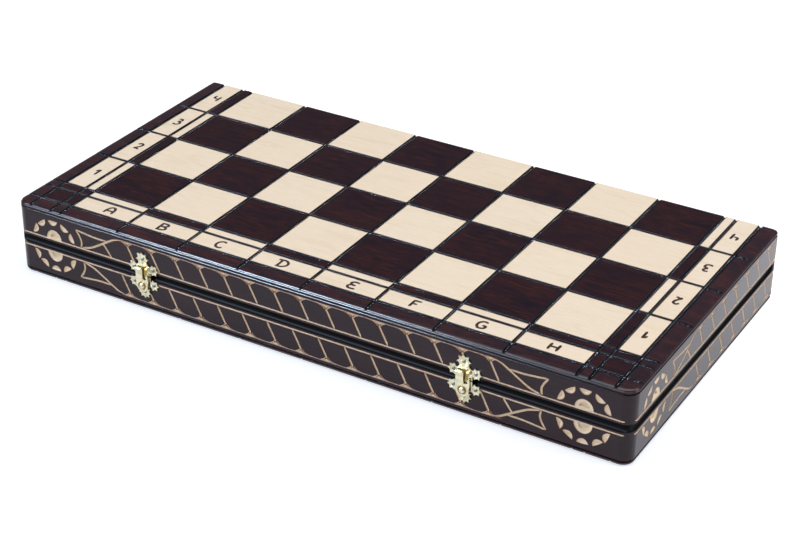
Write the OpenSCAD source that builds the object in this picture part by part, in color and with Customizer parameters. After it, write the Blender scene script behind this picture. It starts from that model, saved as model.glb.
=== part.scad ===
// Folding chess board case, carved and inlaid, with its chess pieces lying in nest trays.
// Origin at the centre of the closed case's underside, +X along the hinge, front towards -Y, +Z up.

/* [Board] */
// Side of one playing square
square = 50; // [40:1:60]
// From the playing field to the outside of the case walls
margin = 39.5; // [38:0.5:44]
// From the playing field to the line between the chequered strip and the label tiles
strip_line = 8.75; // [7:0.25:10]
// From the playing field to the line around the label tiles
label_line = 26.4; // [24:0.2:28]
// Width of the groove between two tiles
groove_w = 1.6; // [1:0.1:2.6]

/* [Case] */
// Height of one half of the case
half_h = 28; // [26:1:34]
// Thickness of the core panel
panel_t = 4; // [3:0.5:5]
// Thickness of the inlaid tiles
tile_t = 1; // [0.6:0.1:1.5]
// Thickness of the walls
wall_t = 10; // [9:0.5:12]
// Radius of the two front corners
corner_r = 8.5; // [6:0.5:10]
// Depth of the routed recess along the rim
recess_d = 2.5; // [1:0.1:3]
// Height of the routed recess in each half
recess_h = 2.9; // [2:0.1:4]

/* [Hinges] */
// Distance of each hinge from the middle of the case
hinge_x = 150; // [110:5:190]
// Length of a hinge leaf
leaf_l = 34; // [28:1:44]
// Width of a hinge leaf, from the pin to its free edge
leaf_w = 8.4; // [7:0.2:9]
// Thickness of a hinge leaf
leaf_t = 1.2; // [0.8:0.1:1.4]
// Outer radius of a hinge knuckle
knuckle_r = 2.2; // [2:0.1:2.5]
// Radius of a hinge pin
pin_r = 1; // [0.8:0.1:1.2]

/* [Latches] */
// Place of the left latch along the front
left_latch_x = -128; // [-170:1:-90]
// Place of the right latch along the front
right_latch_x = 124; // [90:1:170]
// Distance from the seam down to the latch arm's rivet
rivet_drop = 7.5; // [7:0.1:8]
// Thickness of the stamped plates
plate_t = 0.9; // [0.6:0.1:1.2]

/* [Chess pieces] */
// Height of the king
king_h = 90; // [80:1:90]
// Radius of the king's foot
king_r = 18; // [16:0.5:18]
// Height of the queen
queen_h = 82; // [70:1:84]
// Radius of the queen's foot
queen_r = 17; // [15:0.5:17]
// Height of a bishop
bishop_h = 72; // [60:1:76]
// Height of a knight
knight_h = 60; // [54:1:64]
// Height of a rook
rook_h = 52; // [46:1:54]
// Radius of the foot of a bishop, knight or rook
officer_r = 15.5; // [14:0.5:15.5]
// Height of a pawn
pawn_h = 48; // [40:1:50]
// Radius of a pawn's foot
pawn_r = 13; // [12:0.5:13]

/* [Hidden] */

// Colours
dark_wood = [0.13, 0.07, 0.06];
wall_wood = [0.16, 0.13, 0.14];
pale_wood = [0.93, 0.82, 0.68];
light_piece = [0.80, 0.60, 0.38];
dark_piece = [0.25, 0.12, 0.07];
brass = [0.82, 0.72, 0.45];
felt = [0.10, 0.22, 0.14];

// Small distances
fit = 0.05;           // clearance of a pin, screw or mortise
overcut = 1;          // how far a cut runs past the surface it opens

// Case
case_l = 8 * square + 2 * margin;
case_w = 4 * square + margin;
inner_l = case_l - 2 * wall_t;
inner_w = case_w - 2 * wall_t;
front_y = -case_w / 2;
back_y = case_w / 2;
field_x = -4 * square;
field_y = front_y + margin;
recess_stop = 4;      // wall left whole at the back end of the side recesses
edge_inset = 0.9;     // how far the panel's top edge and the groove under it stand back
edge_top_h = 1;       // height of the set-back top edge
edge_groove_h = 0.8;  // height of the groove between the panel's bead and the wall

// Tile lines, counted from the left and from the front
x_lines = concat(
  [-label_line, -strip_line], [for (i = [0:8]) i * square],
  [8 * square + strip_line, 8 * square + label_line]
);
y_lines = concat([-label_line, -strip_line], [for (j = [0:4]) j * square]);

// Hinges
hinge_gap = 0.15;     // half of the space between the back faces when the case lies open
hinge_y = back_y + hinge_gap;
middle_knuckle = leaf_l * 0.4;
knuckle_gap = 0.3;
screw_r = 1;
screw_head_r = 1.9;
screw_l = 8;
screw_spread = leaf_l * 0.34;
screw_y = back_y - leaf_w / 2 - 0.4;

// Latches, as offsets from the seam at the latch's middle
lobe_notch = 0.74;    // radius between a lobe's tips, as a share of its radius
lobe_points = 8;
upper_lobes = [[-7.9, 5.4, 4.2], [8.2, 5.8, 4.2], [-0.6, 12.6, 5.2]];  // place and radius
lower_lobes = [[-7.9, -6.4, 4.2], [8.2, -6, 4.2], [0.2, -12.8, 5.2]];
plate_gap = 0.5;      // from the seam to the edge of each plate
nail_r = 0.6;
nail_head_r = 1.4;
nail_head_h = 0.5;
nail_l = 6;
rivet_x = -0.5;
rivet_r = 1.5;
rivet_head_r = 2.4;
boss_r = 3.6;
boss_h = 0.75;
arm_gap = 0.1;
arm_t = 1;
arm_back = plate_t + boss_h + arm_gap;
arm_disc_r = 4.4;
blade = [-5.4, 0.1];   // sides of the arm's wide blade
blade_top = 6.8;
prong = [3.2, 4.6];   // sides of the arm's thin prong
prong_top = 1.8;
lip_reach = 1.8;
nose = [2.4, 4.2];    // sides of the catch's nose
nose_foot = 3.8;
nose_top = 7;
nose_reach = 2.3;

// Trays
tray_gap = 0.3;
tray_floor = 1.5;
block_top = 20;       // height of the nest block's top, from the playing face
rest_h = 6;           // lowest height at which a chess piece may lie
axis_min = 21;        // lowest height of a lying piece's axis, above the block's top
nest_gap = 0.6;
seat_drop = 0.55;     // a piece lies this much below the axis of its nest

// Chess pieces: name, height and foot radius
KIND = 0;
HEIGHT = 1;
RADIUS = 2;
king = ["king", king_h, king_r];
queen = ["queen", queen_h, queen_r];
bishop = ["bishop", bishop_h, officer_r];
knight = ["knight", knight_h, officer_r];
rook = ["rook", rook_h, officer_r];
pawn = ["pawn", pawn_h, pawn_r];
column_1 = [king, bishop, knight, knight, bishop, queen];
column_2 = [rook, pawn, pawn, pawn, pawn, rook];
column_3 = [pawn, pawn, pawn, pawn];
columns = [column_1, column_2, column_3];
column_l = [for (c = columns) max([for (p = c) p[HEIGHT]])];
nest_block_l = inner_l / 2 - tray_gap;
column_gap = (nest_block_l - sum(column_l)) / (len(columns) + 1);

function sum(list, upto = undef) =
  let (n = is_undef(upto) ? len(list) : upto)
  n <= 0 ? 0 : list[n - 1] + sum(list, n - 1);

// Place of a lying piece: foot towards -X, at [x of the foot, y of the axis, height of the axis]
function widths(column) = [for (p = column) 2 * p[RADIUS]];
function row_gap(column) = (inner_w - 2 * tray_gap - sum(widths(column))) / (len(column) + 1);
function nest_x(c) = -inner_l / 2 + tray_gap + column_gap * (c + 1) + sum(column_l, c);
function nest_y(c, k) =
  -inner_w / 2 + tray_gap + row_gap(columns[c]) * (k + 1) + sum(widths(columns[c]), k)
  + columns[c][k][RADIUS];
function axis_z(p) = max(axis_min, rest_h + p[RADIUS]);

// ---------- frames ----------

// A half case is drawn playing face down; the upper one is the same half turned over sideways.
module upper_place() {
  translate([0, 0, 2 * half_h]) rotate([0, 180, 0]) children();
}

// From the front face at the seam: X to the right, Z up, drawn Z is the height off the face.
module on_front(x) {
  translate([x, front_y, half_h]) rotate([90, 0, 0]) children();
}

module at_latches() {
  for (x = [left_latch_x, right_latch_x]) on_front(x) children();
}

// ---------- half case ----------

// Solid with the case's outline, set back by inset, between two heights
module case_block(low, high, inset = 0) {
  r = corner_r - inset;
  half_l = case_l / 2 - inset;
  front = front_y + inset;
  translate([-half_l, front + r, low]) cube([2 * half_l, back_y - front - r, high - low]);
  translate([-half_l + r, front, low]) cube([2 * (half_l - r), 2 * r, high - low]);
  for (side = [-1, 1])
    translate([side * (half_l - r), front + r, low]) cylinder(r = r, h = high - low, $fn = 64);
}

// Grooves that carry the tile lines on across the dark border to the edge of the panel
module border_grooves() {
  pocket_l = 8 * square + 2 * label_line;
  for (x = x_lines)
    translate([field_x + x - groove_w / 2, front_y - overcut, -overcut])
      cube([groove_w, margin - label_line + overcut, tile_t + overcut]);
  for (y = y_lines)
    if (y < 4 * square)
      for (side = [-1, 1])
        translate([side > 0 ? pocket_l / 2 : -case_l / 2 - overcut, field_y + y - groove_w / 2, -overcut])
          cube([margin - label_line + overcut, groove_w, tile_t + overcut]);
}

module panel() {
  pocket_l = 8 * square + 2 * label_line + groove_w;
  pocket_front = field_y - label_line - groove_w / 2;
  difference() {
    union() {
      case_block(0, edge_top_h, edge_inset);
      case_block(edge_top_h, panel_t - edge_groove_h);
      case_block(panel_t - edge_groove_h, panel_t, edge_inset);
    }
    translate([-pocket_l / 2, pocket_front, -overcut])
      cube([pocket_l, back_y - pocket_front + overcut, tile_t + overcut]);
    border_grooves();
  }
}

// Which tiles are light: i counts from the left, j from the front; 0 is the label, 1 the strip
function in_field(i) = i >= 2 && i <= 9;
function square_is_light(file, rank) = (file + rank) % 2 == 0;
function tile_is_light(i, j) =
  in_field(i) && j >= 2 ? square_is_light(i - 2, j - 2) :
  in_field(i) && j == 1 ? !square_is_light(i - 2, 0) :
  in_field(i) ? true :
  j < 2 ? false :
  i == 1 ? !square_is_light(0, j - 2) :
  i == 10 ? !square_is_light(7, j - 2) :
  true;

module fields(light) {
  for (i = [0:len(x_lines) - 2])
    for (j = [0:len(y_lines) - 2])
      if (tile_is_light(i, j) == light) {
        back_gap = j == len(y_lines) - 2 ? 0 : groove_w / 2;
        x = field_x + x_lines[i] + groove_w / 2;
        y = field_y + y_lines[j] + groove_w / 2;
        tile_l = x_lines[i + 1] - x_lines[i] - groove_w;
        tile_w = y_lines[j + 1] - y_lines[j] - groove_w / 2 - back_gap;
        translate([x, y, 0]) cube([tile_l, tile_w, tile_t]);
      }
}

// Straight cuts along the rim; they run out where the rounded corners fall back behind them
module rim_recess() {
  low = half_h - recess_h;
  translate([-case_l / 2 - overcut, front_y - overcut, low])
    cube([case_l + 2 * overcut, recess_d + overcut, recess_h + overcut]);
  for (side = [-1, 1])
    translate([side > 0 ? case_l / 2 - recess_d : -case_l / 2 - overcut, front_y - overcut, low])
      cube([recess_d + overcut, case_w - recess_stop + overcut, recess_h + overcut]);
}

module wall_ring() {
  difference() {
    case_block(panel_t, half_h);
    translate([-inner_l / 2, -inner_w / 2, panel_t - overcut])
      cube([inner_l, inner_w, half_h - panel_t + 2 * overcut]);
    rim_recess();
  }
}

// Plan of the front wall's share of the ring, with mitred ends
module front_share() {
  reach = 2 * wall_t;
  linear_extrude(height = half_h + overcut)
    polygon([
      [-inner_l / 2 - reach, -inner_w / 2 - reach], [inner_l / 2 + reach, -inner_w / 2 - reach],
      [inner_l / 2, -inner_w / 2], [-inner_l / 2, -inner_w / 2]
    ]);
}

// Plan of a side wall's share, mitred at the front and running through to the back
module side_share(side) {
  reach = 2 * wall_t;
  linear_extrude(height = half_h + overcut)
    polygon([
      [side * inner_l / 2, -inner_w / 2], [side * (inner_l / 2 + reach), -inner_w / 2 - reach],
      [side * (inner_l / 2 + reach), back_y + overcut], [side * inner_l / 2, back_y + overcut]
    ]);
}

module front_wall() {
  intersection() {
    wall_ring();
    front_share();
  }
}

module side_wall(side) {
  intersection() {
    wall_ring();
    side_share(side);
  }
}

module back_wall() {
  translate([-inner_l / 2, back_y - wall_t, panel_t]) cube([inner_l, wall_t, half_h - panel_t]);
}

// ---------- hinges ----------

module at_hinges() {
  for (side = [-1, 1]) translate([side * hinge_x, 0, 0]) children();
}

module x_cylinder(r, l) {
  rotate([0, 90, 0]) cylinder(r = r, h = l, center = true, $fn = 48);
}

// Countersunk screw, head flush at Z = 0 and shank down
module screw(grow = 0) {
  translate([0, 0, -leaf_t])
    cylinder(r1 = screw_r + grow, r2 = screw_head_r + grow, h = leaf_t + grow, $fn = 32);
  translate([0, 0, -screw_l - grow]) cylinder(r = screw_r + grow, h = screw_l, $fn = 32);
}

module leaf_screws(grow = 0) {
  for (side = [-1, 1]) translate([side * screw_spread, screw_y, half_h]) screw(grow);
}

// Plate of the lower leaf, its top face in the seam
module leaf_plate(grow = 0) {
  translate([-leaf_l / 2 - grow, back_y - leaf_w - grow, half_h - leaf_t - grow])
    cube([leaf_l + 2 * grow, leaf_w + hinge_gap + grow, leaf_t + grow]);
}

module knuckle(x, l) {
  translate([x, hinge_y, half_h]) x_cylinder(knuckle_r, l);
}

module pin_hole() {
  translate([0, hinge_y, half_h]) x_cylinder(pin_r + fit, leaf_l + 2 * overcut);
}

// Room that a leaf leaves for the other leaf's knuckles
module knuckle_room(x, l) {
  translate([x, hinge_y, half_h]) x_cylinder(knuckle_r + knuckle_gap, l);
}

module lower_leaf() {
  outer_knuckle = (leaf_l - middle_knuckle) / 2 - knuckle_gap;
  outer_x = leaf_l / 2 - outer_knuckle / 2;
  difference() {
    union() {
      difference() {
        leaf_plate();
        knuckle_room(0, middle_knuckle + 2 * knuckle_gap);
      }
      knuckle(-outer_x, outer_knuckle);
      knuckle(outer_x, outer_knuckle);
    }
    pin_hole();
    leaf_screws(fit);
  }
}

module upper_leaf() {
  outer_room = (leaf_l - middle_knuckle) / 2 + overcut;
  outer_x = middle_knuckle / 2 + outer_room / 2;
  difference() {
    union() {
      difference() {
        upper_place() leaf_plate();
        knuckle_room(-outer_x, outer_room);
        knuckle_room(outer_x, outer_room);
      }
      knuckle(0, middle_knuckle);
    }
    pin_hole();
    upper_place() leaf_screws(fit);
  }
}

module hinge_pin() {
  head_l = 0.8;
  translate([0, hinge_y, half_h]) {
    x_cylinder(pin_r, leaf_l + 2 * fit);
    for (side = [-1, 1])
      translate([side * (leaf_l / 2 + fit + head_l / 2), 0, 0]) x_cylinder(knuckle_r * 0.8, head_l);
  }
}

// What the back walls lose to both hinges
module hinge_seats() {
  at_hinges() {
    leaf_plate(fit);
    upper_place() leaf_plate(fit);
    translate([0, hinge_y, half_h]) x_cylinder(knuckle_r + 2 * knuckle_gap, leaf_l + 4);
    leaf_screws(fit);
    upper_place() leaf_screws(fit);
  }
}

// ---------- latches ----------

// Star-shaped lobe of a stamped plate, drawn flat
module lobe(place) {
  step = 360 / lobe_points;
  translate([place[0], place[1]])
    polygon([
      for (k = [0:2 * lobe_points - 1])
        place[2] * (k % 2 == 0 ? 1 : lobe_notch) * [cos(k * step / 2), sin(k * step / 2)]
    ]);
}

// Stamped plate with three lobes; way is 1 for the one above the seam and -1 below
module stamped_plate(lobes, way) {
  near = way * plate_gap;
  far = way * 10.5;
  linear_extrude(height = plate_t) {
    for (place = lobes) lobe(place);
    polygon([[-5.4, near], [5.8, near], [5.8, way * 7.6], [2.2, far], [-1.8, far], [-5.4, way * 7.6]]);
  }
}

module nail(grow = 0) {
  translate([0, 0, plate_t]) cylinder(r = nail_head_r + grow, h = nail_head_h, $fn = 32);
  translate([0, 0, plate_t - nail_l]) cylinder(r = nail_r + grow, h = nail_l, $fn = 32);
}

module nail_holes(lobes) {
  for (place = lobes)
    translate([place[0], place[1], plate_t - nail_l - fit])
      cylinder(r = nail_r + fit, h = nail_l + overcut, $fn = 32);
}

module nails(lobes) {
  for (place = lobes) translate([place[0], place[1], 0]) nail();
}

module catch_plate() {
  difference() {
    union() {
      stamped_plate(upper_lobes, 1);
      translate([nose[0], nose_foot, 0])
        cube([nose[1] - nose[0], nose_top - nose_foot, plate_t + nose_reach]);
    }
    nail_holes(upper_lobes);
  }
}

module base_plate() {
  difference() {
    union() {
      stamped_plate(lower_lobes, -1);
      translate([rivet_x, -rivet_drop, 0]) cylinder(r = boss_r, h = plate_t + boss_h, $fn = 48);
    }
    nail_holes(lower_lobes);
    translate([rivet_x, -rivet_drop, -overcut])
      cylinder(r = rivet_r, h = plate_t + boss_h + 2 * overcut, $fn = 48);
  }
}

module rivet() {
  head_base = arm_back + arm_t + arm_gap;
  translate([rivet_x, -rivet_drop, 0]) {
    cylinder(r = rivet_r, h = head_base, $fn = 48);
    translate([0, 0, head_base]) cylinder(r = rivet_head_r, h = 0.6, $fn = 48);
    translate([0, 0, head_base + 0.6]) cylinder(r1 = rivet_head_r, r2 = 1.3, h = 0.9, $fn = 48);
  }
}

module latch_arm() {
  yoke = [-5.2, -2.2];  // top and bottom of the bar that carries the blade and the prong
  difference() {
    translate([0, 0, arm_back]) {
      translate([rivet_x, -rivet_drop, 0]) cylinder(r = arm_disc_r, h = arm_t, $fn = 48);
      translate([blade[0], yoke[0], 0]) cube([prong[1] - blade[0], yoke[1] - yoke[0], arm_t]);
      translate([blade[0], yoke[0], 0]) cube([blade[1] - blade[0], blade_top - yoke[0], arm_t]);
      translate([blade[0], blade_top - arm_t, 0]) cube([blade[1] - blade[0], arm_t, arm_t + lip_reach]);
      translate([prong[0], yoke[0], 0]) cube([prong[1] - prong[0], prong_top - yoke[0], arm_t]);
    }
    translate([rivet_x, -rivet_drop, 0])
      cylinder(r = rivet_r + fit, h = arm_back + arm_t + overcut, $fn = 48);
  }
}

// What the front walls lose to the latches' nails
module latch_holes() {
  at_latches() {
    nail_holes(upper_lobes);
    nail_holes(lower_lobes);
  }
}

// ---------- chess pieces, standing on Z = 0 ----------

module turned(points) {
  rotate_extrude($fn = 64) polygon(points);
}

// Foot and stem shared by all the pieces, up to a stem of the given radius and height
function foot(r, stem_r, stem_h) = [
  [0, 0], [r, 0], [r, 0.26 * r], [0.84 * r, 0.4 * r], [0.84 * r, 0.55 * r],
  [0.58 * r, 0.8 * r], [stem_r, stem_h]
];

module king_body(h, r) {
  turned(concat(foot(r, 0.36 * r, 0.52 * h), [
    [0.7 * r, 0.56 * h], [0.4 * r, 0.6 * h], [0.62 * r, 0.8 * h], [0.5 * r, 0.84 * h], [0, 0.88 * h]
  ]));
  bar = 0.16 * r;
  translate([-bar, -bar, 0.86 * h]) cube([2 * bar, 2 * bar, 0.14 * h]);
  translate([-0.34 * r, -bar, 0.92 * h]) cube([0.68 * r, 2 * bar, 0.04 * h]);
}

module queen_body(h, r) {
  turned(concat(foot(r, 0.36 * r, 0.54 * h), [
    [0.7 * r, 0.58 * h], [0.4 * r, 0.62 * h], [0.66 * r, 0.86 * h], [0.4 * r, 0.92 * h],
    [0.2 * r, 0.94 * h], [0.2 * r, 0.99 * h], [0, h]
  ]));
}

module bishop_body(h, r) {
  turned(concat(foot(r, 0.36 * r, 0.5 * h), [
    [0.66 * r, 0.55 * h], [0.4 * r, 0.6 * h], [0.56 * r, 0.73 * h], [0.46 * r, 0.85 * h],
    [0.16 * r, 0.94 * h], [0.16 * r, 0.99 * h], [0, h]
  ]));
}

module rook_body(h, r) {
  difference() {
    turned(concat(foot(r, 0.5 * r, 0.6 * h), [
      [0.72 * r, 0.7 * h], [0.72 * r, h], [0.46 * r, h], [0.46 * r, 0.86 * h], [0, 0.86 * h]
    ]));
    for (turn = [0, 60, 120])
      rotate([0, 0, turn]) translate([-r, -0.12 * r, 0.9 * h]) cube([2 * r, 0.24 * r, 0.1 * h + overcut]);
  }
}

module pawn_body(h, r) {
  turned(concat(foot(r, 0.34 * r, 0.56 * h), [[0.64 * r, 0.62 * h], [0.3 * r, 0.66 * h]], [
    for (a = [-60:30:90]) [0.5 * r * cos(a), h - 0.5 * r + 0.5 * r * sin(a)]
  ]));
}

// The horse's head looks towards +X
module knight_body(h, r) {
  head_t = 0.72 * r;
  turned(concat(foot(r, 0.6 * r, 0.34 * h), [[0.6 * r, 0.38 * h], [0, 0.38 * h]]));
  translate([0, head_t / 2, 0])
    rotate([90, 0, 0])
      linear_extrude(height = head_t)
        polygon([
          [-0.62 * r, 0.34 * h], [0.5 * r, 0.34 * h], [0.42 * r, 0.5 * h], [0.22 * r, 0.62 * h],
          [0.86 * r, 0.6 * h], [0.9 * r, 0.7 * h], [0.4 * r, 0.88 * h], [0.1 * r, h],
          [-0.1 * r, 0.93 * h], [-0.6 * r, 0.8 * h], [-0.8 * r, 0.55 * h]
        ]);
}

module standing(p) {
  if (p[KIND] == "king") king_body(p[HEIGHT], p[RADIUS]);
  if (p[KIND] == "queen") queen_body(p[HEIGHT], p[RADIUS]);
  if (p[KIND] == "bishop") bishop_body(p[HEIGHT], p[RADIUS]);
  if (p[KIND] == "knight") knight_body(p[HEIGHT], p[RADIUS]);
  if (p[KIND] == "rook") rook_body(p[HEIGHT], p[RADIUS]);
  if (p[KIND] == "pawn") pawn_body(p[HEIGHT], p[RADIUS]);
}

// ---------- trays ----------

// A piece lying in column c at place k, foot towards -X and a horse's head flat
module lying(c, k) {
  p = columns[c][k];
  translate([nest_x(c), nest_y(c, k), axis_z(p) - seat_drop])
    rotate([0, 90, 0]) rotate([0, 0, 90]) standing(p);
}

module nest(c, k) {
  p = columns[c][k];
  r = p[RADIUS];
  body_r = p[KIND] == "knight" ? r : 0.74 * r;
  translate([nest_x(c) - nest_gap, nest_y(c, k), axis_z(p)])
    rotate([0, 90, 0]) {
      cylinder(r = r + nest_gap, h = 0.8 * r + nest_gap, $fn = 64);
      cylinder(r = body_r + nest_gap, h = p[HEIGHT] + 2 * nest_gap, $fn = 64);
    }
}

module tray() {
  tray_l = inner_l - 2 * tray_gap;
  tray_w = inner_w - 2 * tray_gap;
  difference() {
    union() {
      translate([-tray_l / 2, -tray_w / 2, panel_t]) cube([tray_l, tray_w, tray_floor]);
      translate([-tray_l / 2, -tray_w / 2, panel_t]) cube([nest_block_l, tray_w, block_top - panel_t]);
    }
    for (c = [0:len(columns) - 1])
      for (k = [0:len(columns[c]) - 1]) nest(c, k);
  }
}

// All the pawns of one colour: the middle places of the second column and the whole third column
module pawns() {
  for (k = [1:4]) lying(1, k);
  for (k = [0:3]) lying(2, k);
}

// ---------- nodes ----------

module lower_panel() color(dark_wood) panel();
module lower_light_fields() color(pale_wood) fields(true);
module lower_dark_fields() color(dark_wood) fields(false);
module lower_front_wall() color(wall_wood) difference() { front_wall(); latch_holes(); }
module lower_back_wall() color(wall_wood) difference() { back_wall(); hinge_seats(); }
module lower_left_wall() color(wall_wood) side_wall(-1);
module lower_right_wall() color(wall_wood) side_wall(1);
module lower_tray() color(felt) tray();

module upper_panel() color(dark_wood) upper_place() panel();
module upper_light_fields() color(pale_wood) upper_place() fields(true);
module upper_dark_fields() color(dark_wood) upper_place() fields(false);
module upper_front_wall() color(wall_wood) difference() { upper_place() front_wall(); latch_holes(); }
module upper_back_wall() color(wall_wood) difference() { upper_place() back_wall(); hinge_seats(); }
module upper_left_wall() color(wall_wood) upper_place() side_wall(1);
module upper_right_wall() color(wall_wood) upper_place() side_wall(-1);
module upper_tray() color(felt) upper_place() tray();

module left_hinge_lower_leaf() color(brass) translate([-hinge_x, 0, 0]) lower_leaf();
module left_hinge_upper_leaf() color(brass) translate([-hinge_x, 0, 0]) upper_leaf();
module left_hinge_pin() color(brass) translate([-hinge_x, 0, 0]) hinge_pin();
module right_hinge_lower_leaf() color(brass) translate([hinge_x, 0, 0]) lower_leaf();
module right_hinge_upper_leaf() color(brass) translate([hinge_x, 0, 0]) upper_leaf();
module right_hinge_pin() color(brass) translate([hinge_x, 0, 0]) hinge_pin();
module hinge_screws_lower() color(brass) at_hinges() leaf_screws();
module hinge_screws_upper() color(brass) at_hinges() upper_place() leaf_screws();

module left_latch_catch_plate() color(brass) on_front(left_latch_x) catch_plate();
module left_latch_base_plate() color(brass) on_front(left_latch_x) base_plate();
module left_latch_arm() color(brass) on_front(left_latch_x) latch_arm();
module left_latch_rivet() color(brass) on_front(left_latch_x) rivet();
module right_latch_catch_plate() color(brass) on_front(right_latch_x) catch_plate();
module right_latch_base_plate() color(brass) on_front(right_latch_x) base_plate();
module right_latch_arm() color(brass) on_front(right_latch_x) latch_arm();
module right_latch_rivet() color(brass) on_front(right_latch_x) rivet();
module latch_nails_lower() color(brass) at_latches() nails(lower_lobes);
module latch_nails_upper() color(brass) at_latches() nails(upper_lobes);

module light_piece(c, k) color(light_piece) lying(c, k);
module dark_piece(c, k) color(dark_piece) upper_place() lying(c, k);

lower_panel();
lower_light_fields();
lower_dark_fields();
lower_front_wall();
lower_back_wall();
lower_left_wall();
lower_right_wall();
lower_tray();
upper_panel();
upper_light_fields();
upper_dark_fields();
upper_front_wall();
upper_back_wall();
upper_left_wall();
upper_right_wall();
upper_tray();
left_hinge_lower_leaf();
left_hinge_upper_leaf();
left_hinge_pin();
right_hinge_lower_leaf();
right_hinge_upper_leaf();
right_hinge_pin();
hinge_screws_lower();
hinge_screws_upper();
left_latch_catch_plate();
left_latch_base_plate();
left_latch_arm();
left_latch_rivet();
right_latch_catch_plate();
right_latch_base_plate();
right_latch_arm();
right_latch_rivet();
latch_nails_lower();
latch_nails_upper();
light_piece(0, 0);  // light_king
light_piece(0, 1);  // light_bishop_1
light_piece(0, 2);  // light_knight_1
light_piece(0, 3);  // light_knight_2
light_piece(0, 4);  // light_bishop_2
light_piece(0, 5);  // light_queen
light_piece(1, 0);  // light_rook_1
light_piece(1, 5);  // light_rook_2
color(light_piece) pawns();  // light_pawns
dark_piece(0, 0);  // dark_king
dark_piece(0, 1);  // dark_bishop_1
dark_piece(0, 2);  // dark_knight_1
dark_piece(0, 3);  // dark_knight_2
dark_piece(0, 4);  // dark_bishop_2
dark_piece(0, 5);  // dark_queen
dark_piece(1, 0);  // dark_rook_1
dark_piece(1, 5);  // dark_rook_2
color(dark_piece) upper_place() pawns();  // dark_pawns
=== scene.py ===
"""Looks of the folding chess case: carved walls, inlaid field, brass latches and turned pieces."""

import itertools
from math import atan2, ceil, cos, dist, hypot, modf, pi, radians, sin, sqrt

import bmesh
import bpy
from mathutils import Matrix, Vector


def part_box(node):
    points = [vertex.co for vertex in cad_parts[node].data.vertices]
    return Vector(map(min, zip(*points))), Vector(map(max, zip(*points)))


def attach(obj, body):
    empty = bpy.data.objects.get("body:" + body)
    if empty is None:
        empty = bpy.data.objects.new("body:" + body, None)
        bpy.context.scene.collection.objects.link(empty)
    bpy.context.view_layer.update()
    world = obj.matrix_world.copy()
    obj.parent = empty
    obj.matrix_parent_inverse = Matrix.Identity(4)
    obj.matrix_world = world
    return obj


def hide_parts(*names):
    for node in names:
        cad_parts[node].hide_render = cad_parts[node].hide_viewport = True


MM = 0.001

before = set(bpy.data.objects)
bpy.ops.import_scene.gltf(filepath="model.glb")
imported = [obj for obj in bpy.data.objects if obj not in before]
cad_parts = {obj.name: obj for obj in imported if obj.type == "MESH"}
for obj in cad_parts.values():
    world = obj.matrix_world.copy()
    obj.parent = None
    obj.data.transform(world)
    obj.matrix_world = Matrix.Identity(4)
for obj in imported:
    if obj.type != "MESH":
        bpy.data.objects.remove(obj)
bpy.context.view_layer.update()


# ---------- driving dimensions, in millimetres, from the frame ----------

def node_box(node):
    """Lowest and highest corner of a CAD node in millimetres."""
    low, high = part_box(node)
    return low / MM, high / MM


PANEL_LOW, PANEL_HIGH = node_box("lower_panel")
CASE_L = PANEL_HIGH.x - PANEL_LOW.x
FRONT = PANEL_LOW.y
BACK = PANEL_HIGH.y
PANEL_T = PANEL_HIGH.z
HALF_H = node_box("upper_panel")[1].z / 2
TILE_T = node_box("lower_dark_fields")[1].z
SQUARE = 50
FIELD_X = -4 * SQUARE
FIELD_Y = BACK - 4 * SQUARE
STRIP_LINE = 8.75
LABEL_LINE = 26.4
GROOVE_W = 1.6             # between two tiles, at the foot of their bevels
TILE_BEVEL = 0.5
EDGE_LINE = 0.8            # how far in from its flanks the stain has marked a tile
CORNER_R = 8.5
WALL_T = 10
INNER_X = CASE_L / 2 - WALL_T
INNER_FRONT = FRONT + WALL_T
RECESS_D = 2.5
RECESS_H = 2.9
X_LINES = [-LABEL_LINE, -STRIP_LINE, *[i * SQUARE for i in range(9)],
           8 * SQUARE + STRIP_LINE, 8 * SQUARE + LABEL_LINE]
Y_LINES = [-LABEL_LINE, -STRIP_LINE, *[j * SQUARE for j in range(5)]]
SIDE_NAMES = {-1: "left", 1: "right"}
TURN_OVER = Matrix.Translation((0, 0, 2 * HALF_H)) @ Matrix.Rotation(pi, 4, "Y")
HALVES = {"lower": None, "upper": TURN_OVER}      # how each half is moved from the half it's drawn on


# ---------- scene and camera ----------

def put_in_scene(name, data):
    """Makes an object of a mesh, a camera or a light, and links it to the scene."""
    obj = bpy.data.objects.new(name, data)
    bpy.context.scene.collection.objects.link(obj)
    return obj


def make_camera():
    """The camera of the three-quarter view, set by its place, its bearing and its lens."""
    place = Vector((599.5, -1021.9, 688.6)) * MM
    bearing, elevation, roll = radians(30.14), radians(29.64), radians(0.61)
    turn = (Matrix.Rotation(bearing, 4, "Z") @ Matrix.Rotation(pi / 2 - elevation, 4, "X")
            @ Matrix.Rotation(roll, 4, "Z"))
    data = bpy.data.cameras.new("camera")
    data.lens = 86.28
    data.sensor_width = 36
    data.clip_start = 0.01
    data.clip_end = 100
    camera = put_in_scene("camera", data)
    camera.matrix_world = Matrix.Translation(place) @ turn
    bpy.context.scene.camera = camera


# ---------- materials ----------

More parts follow.
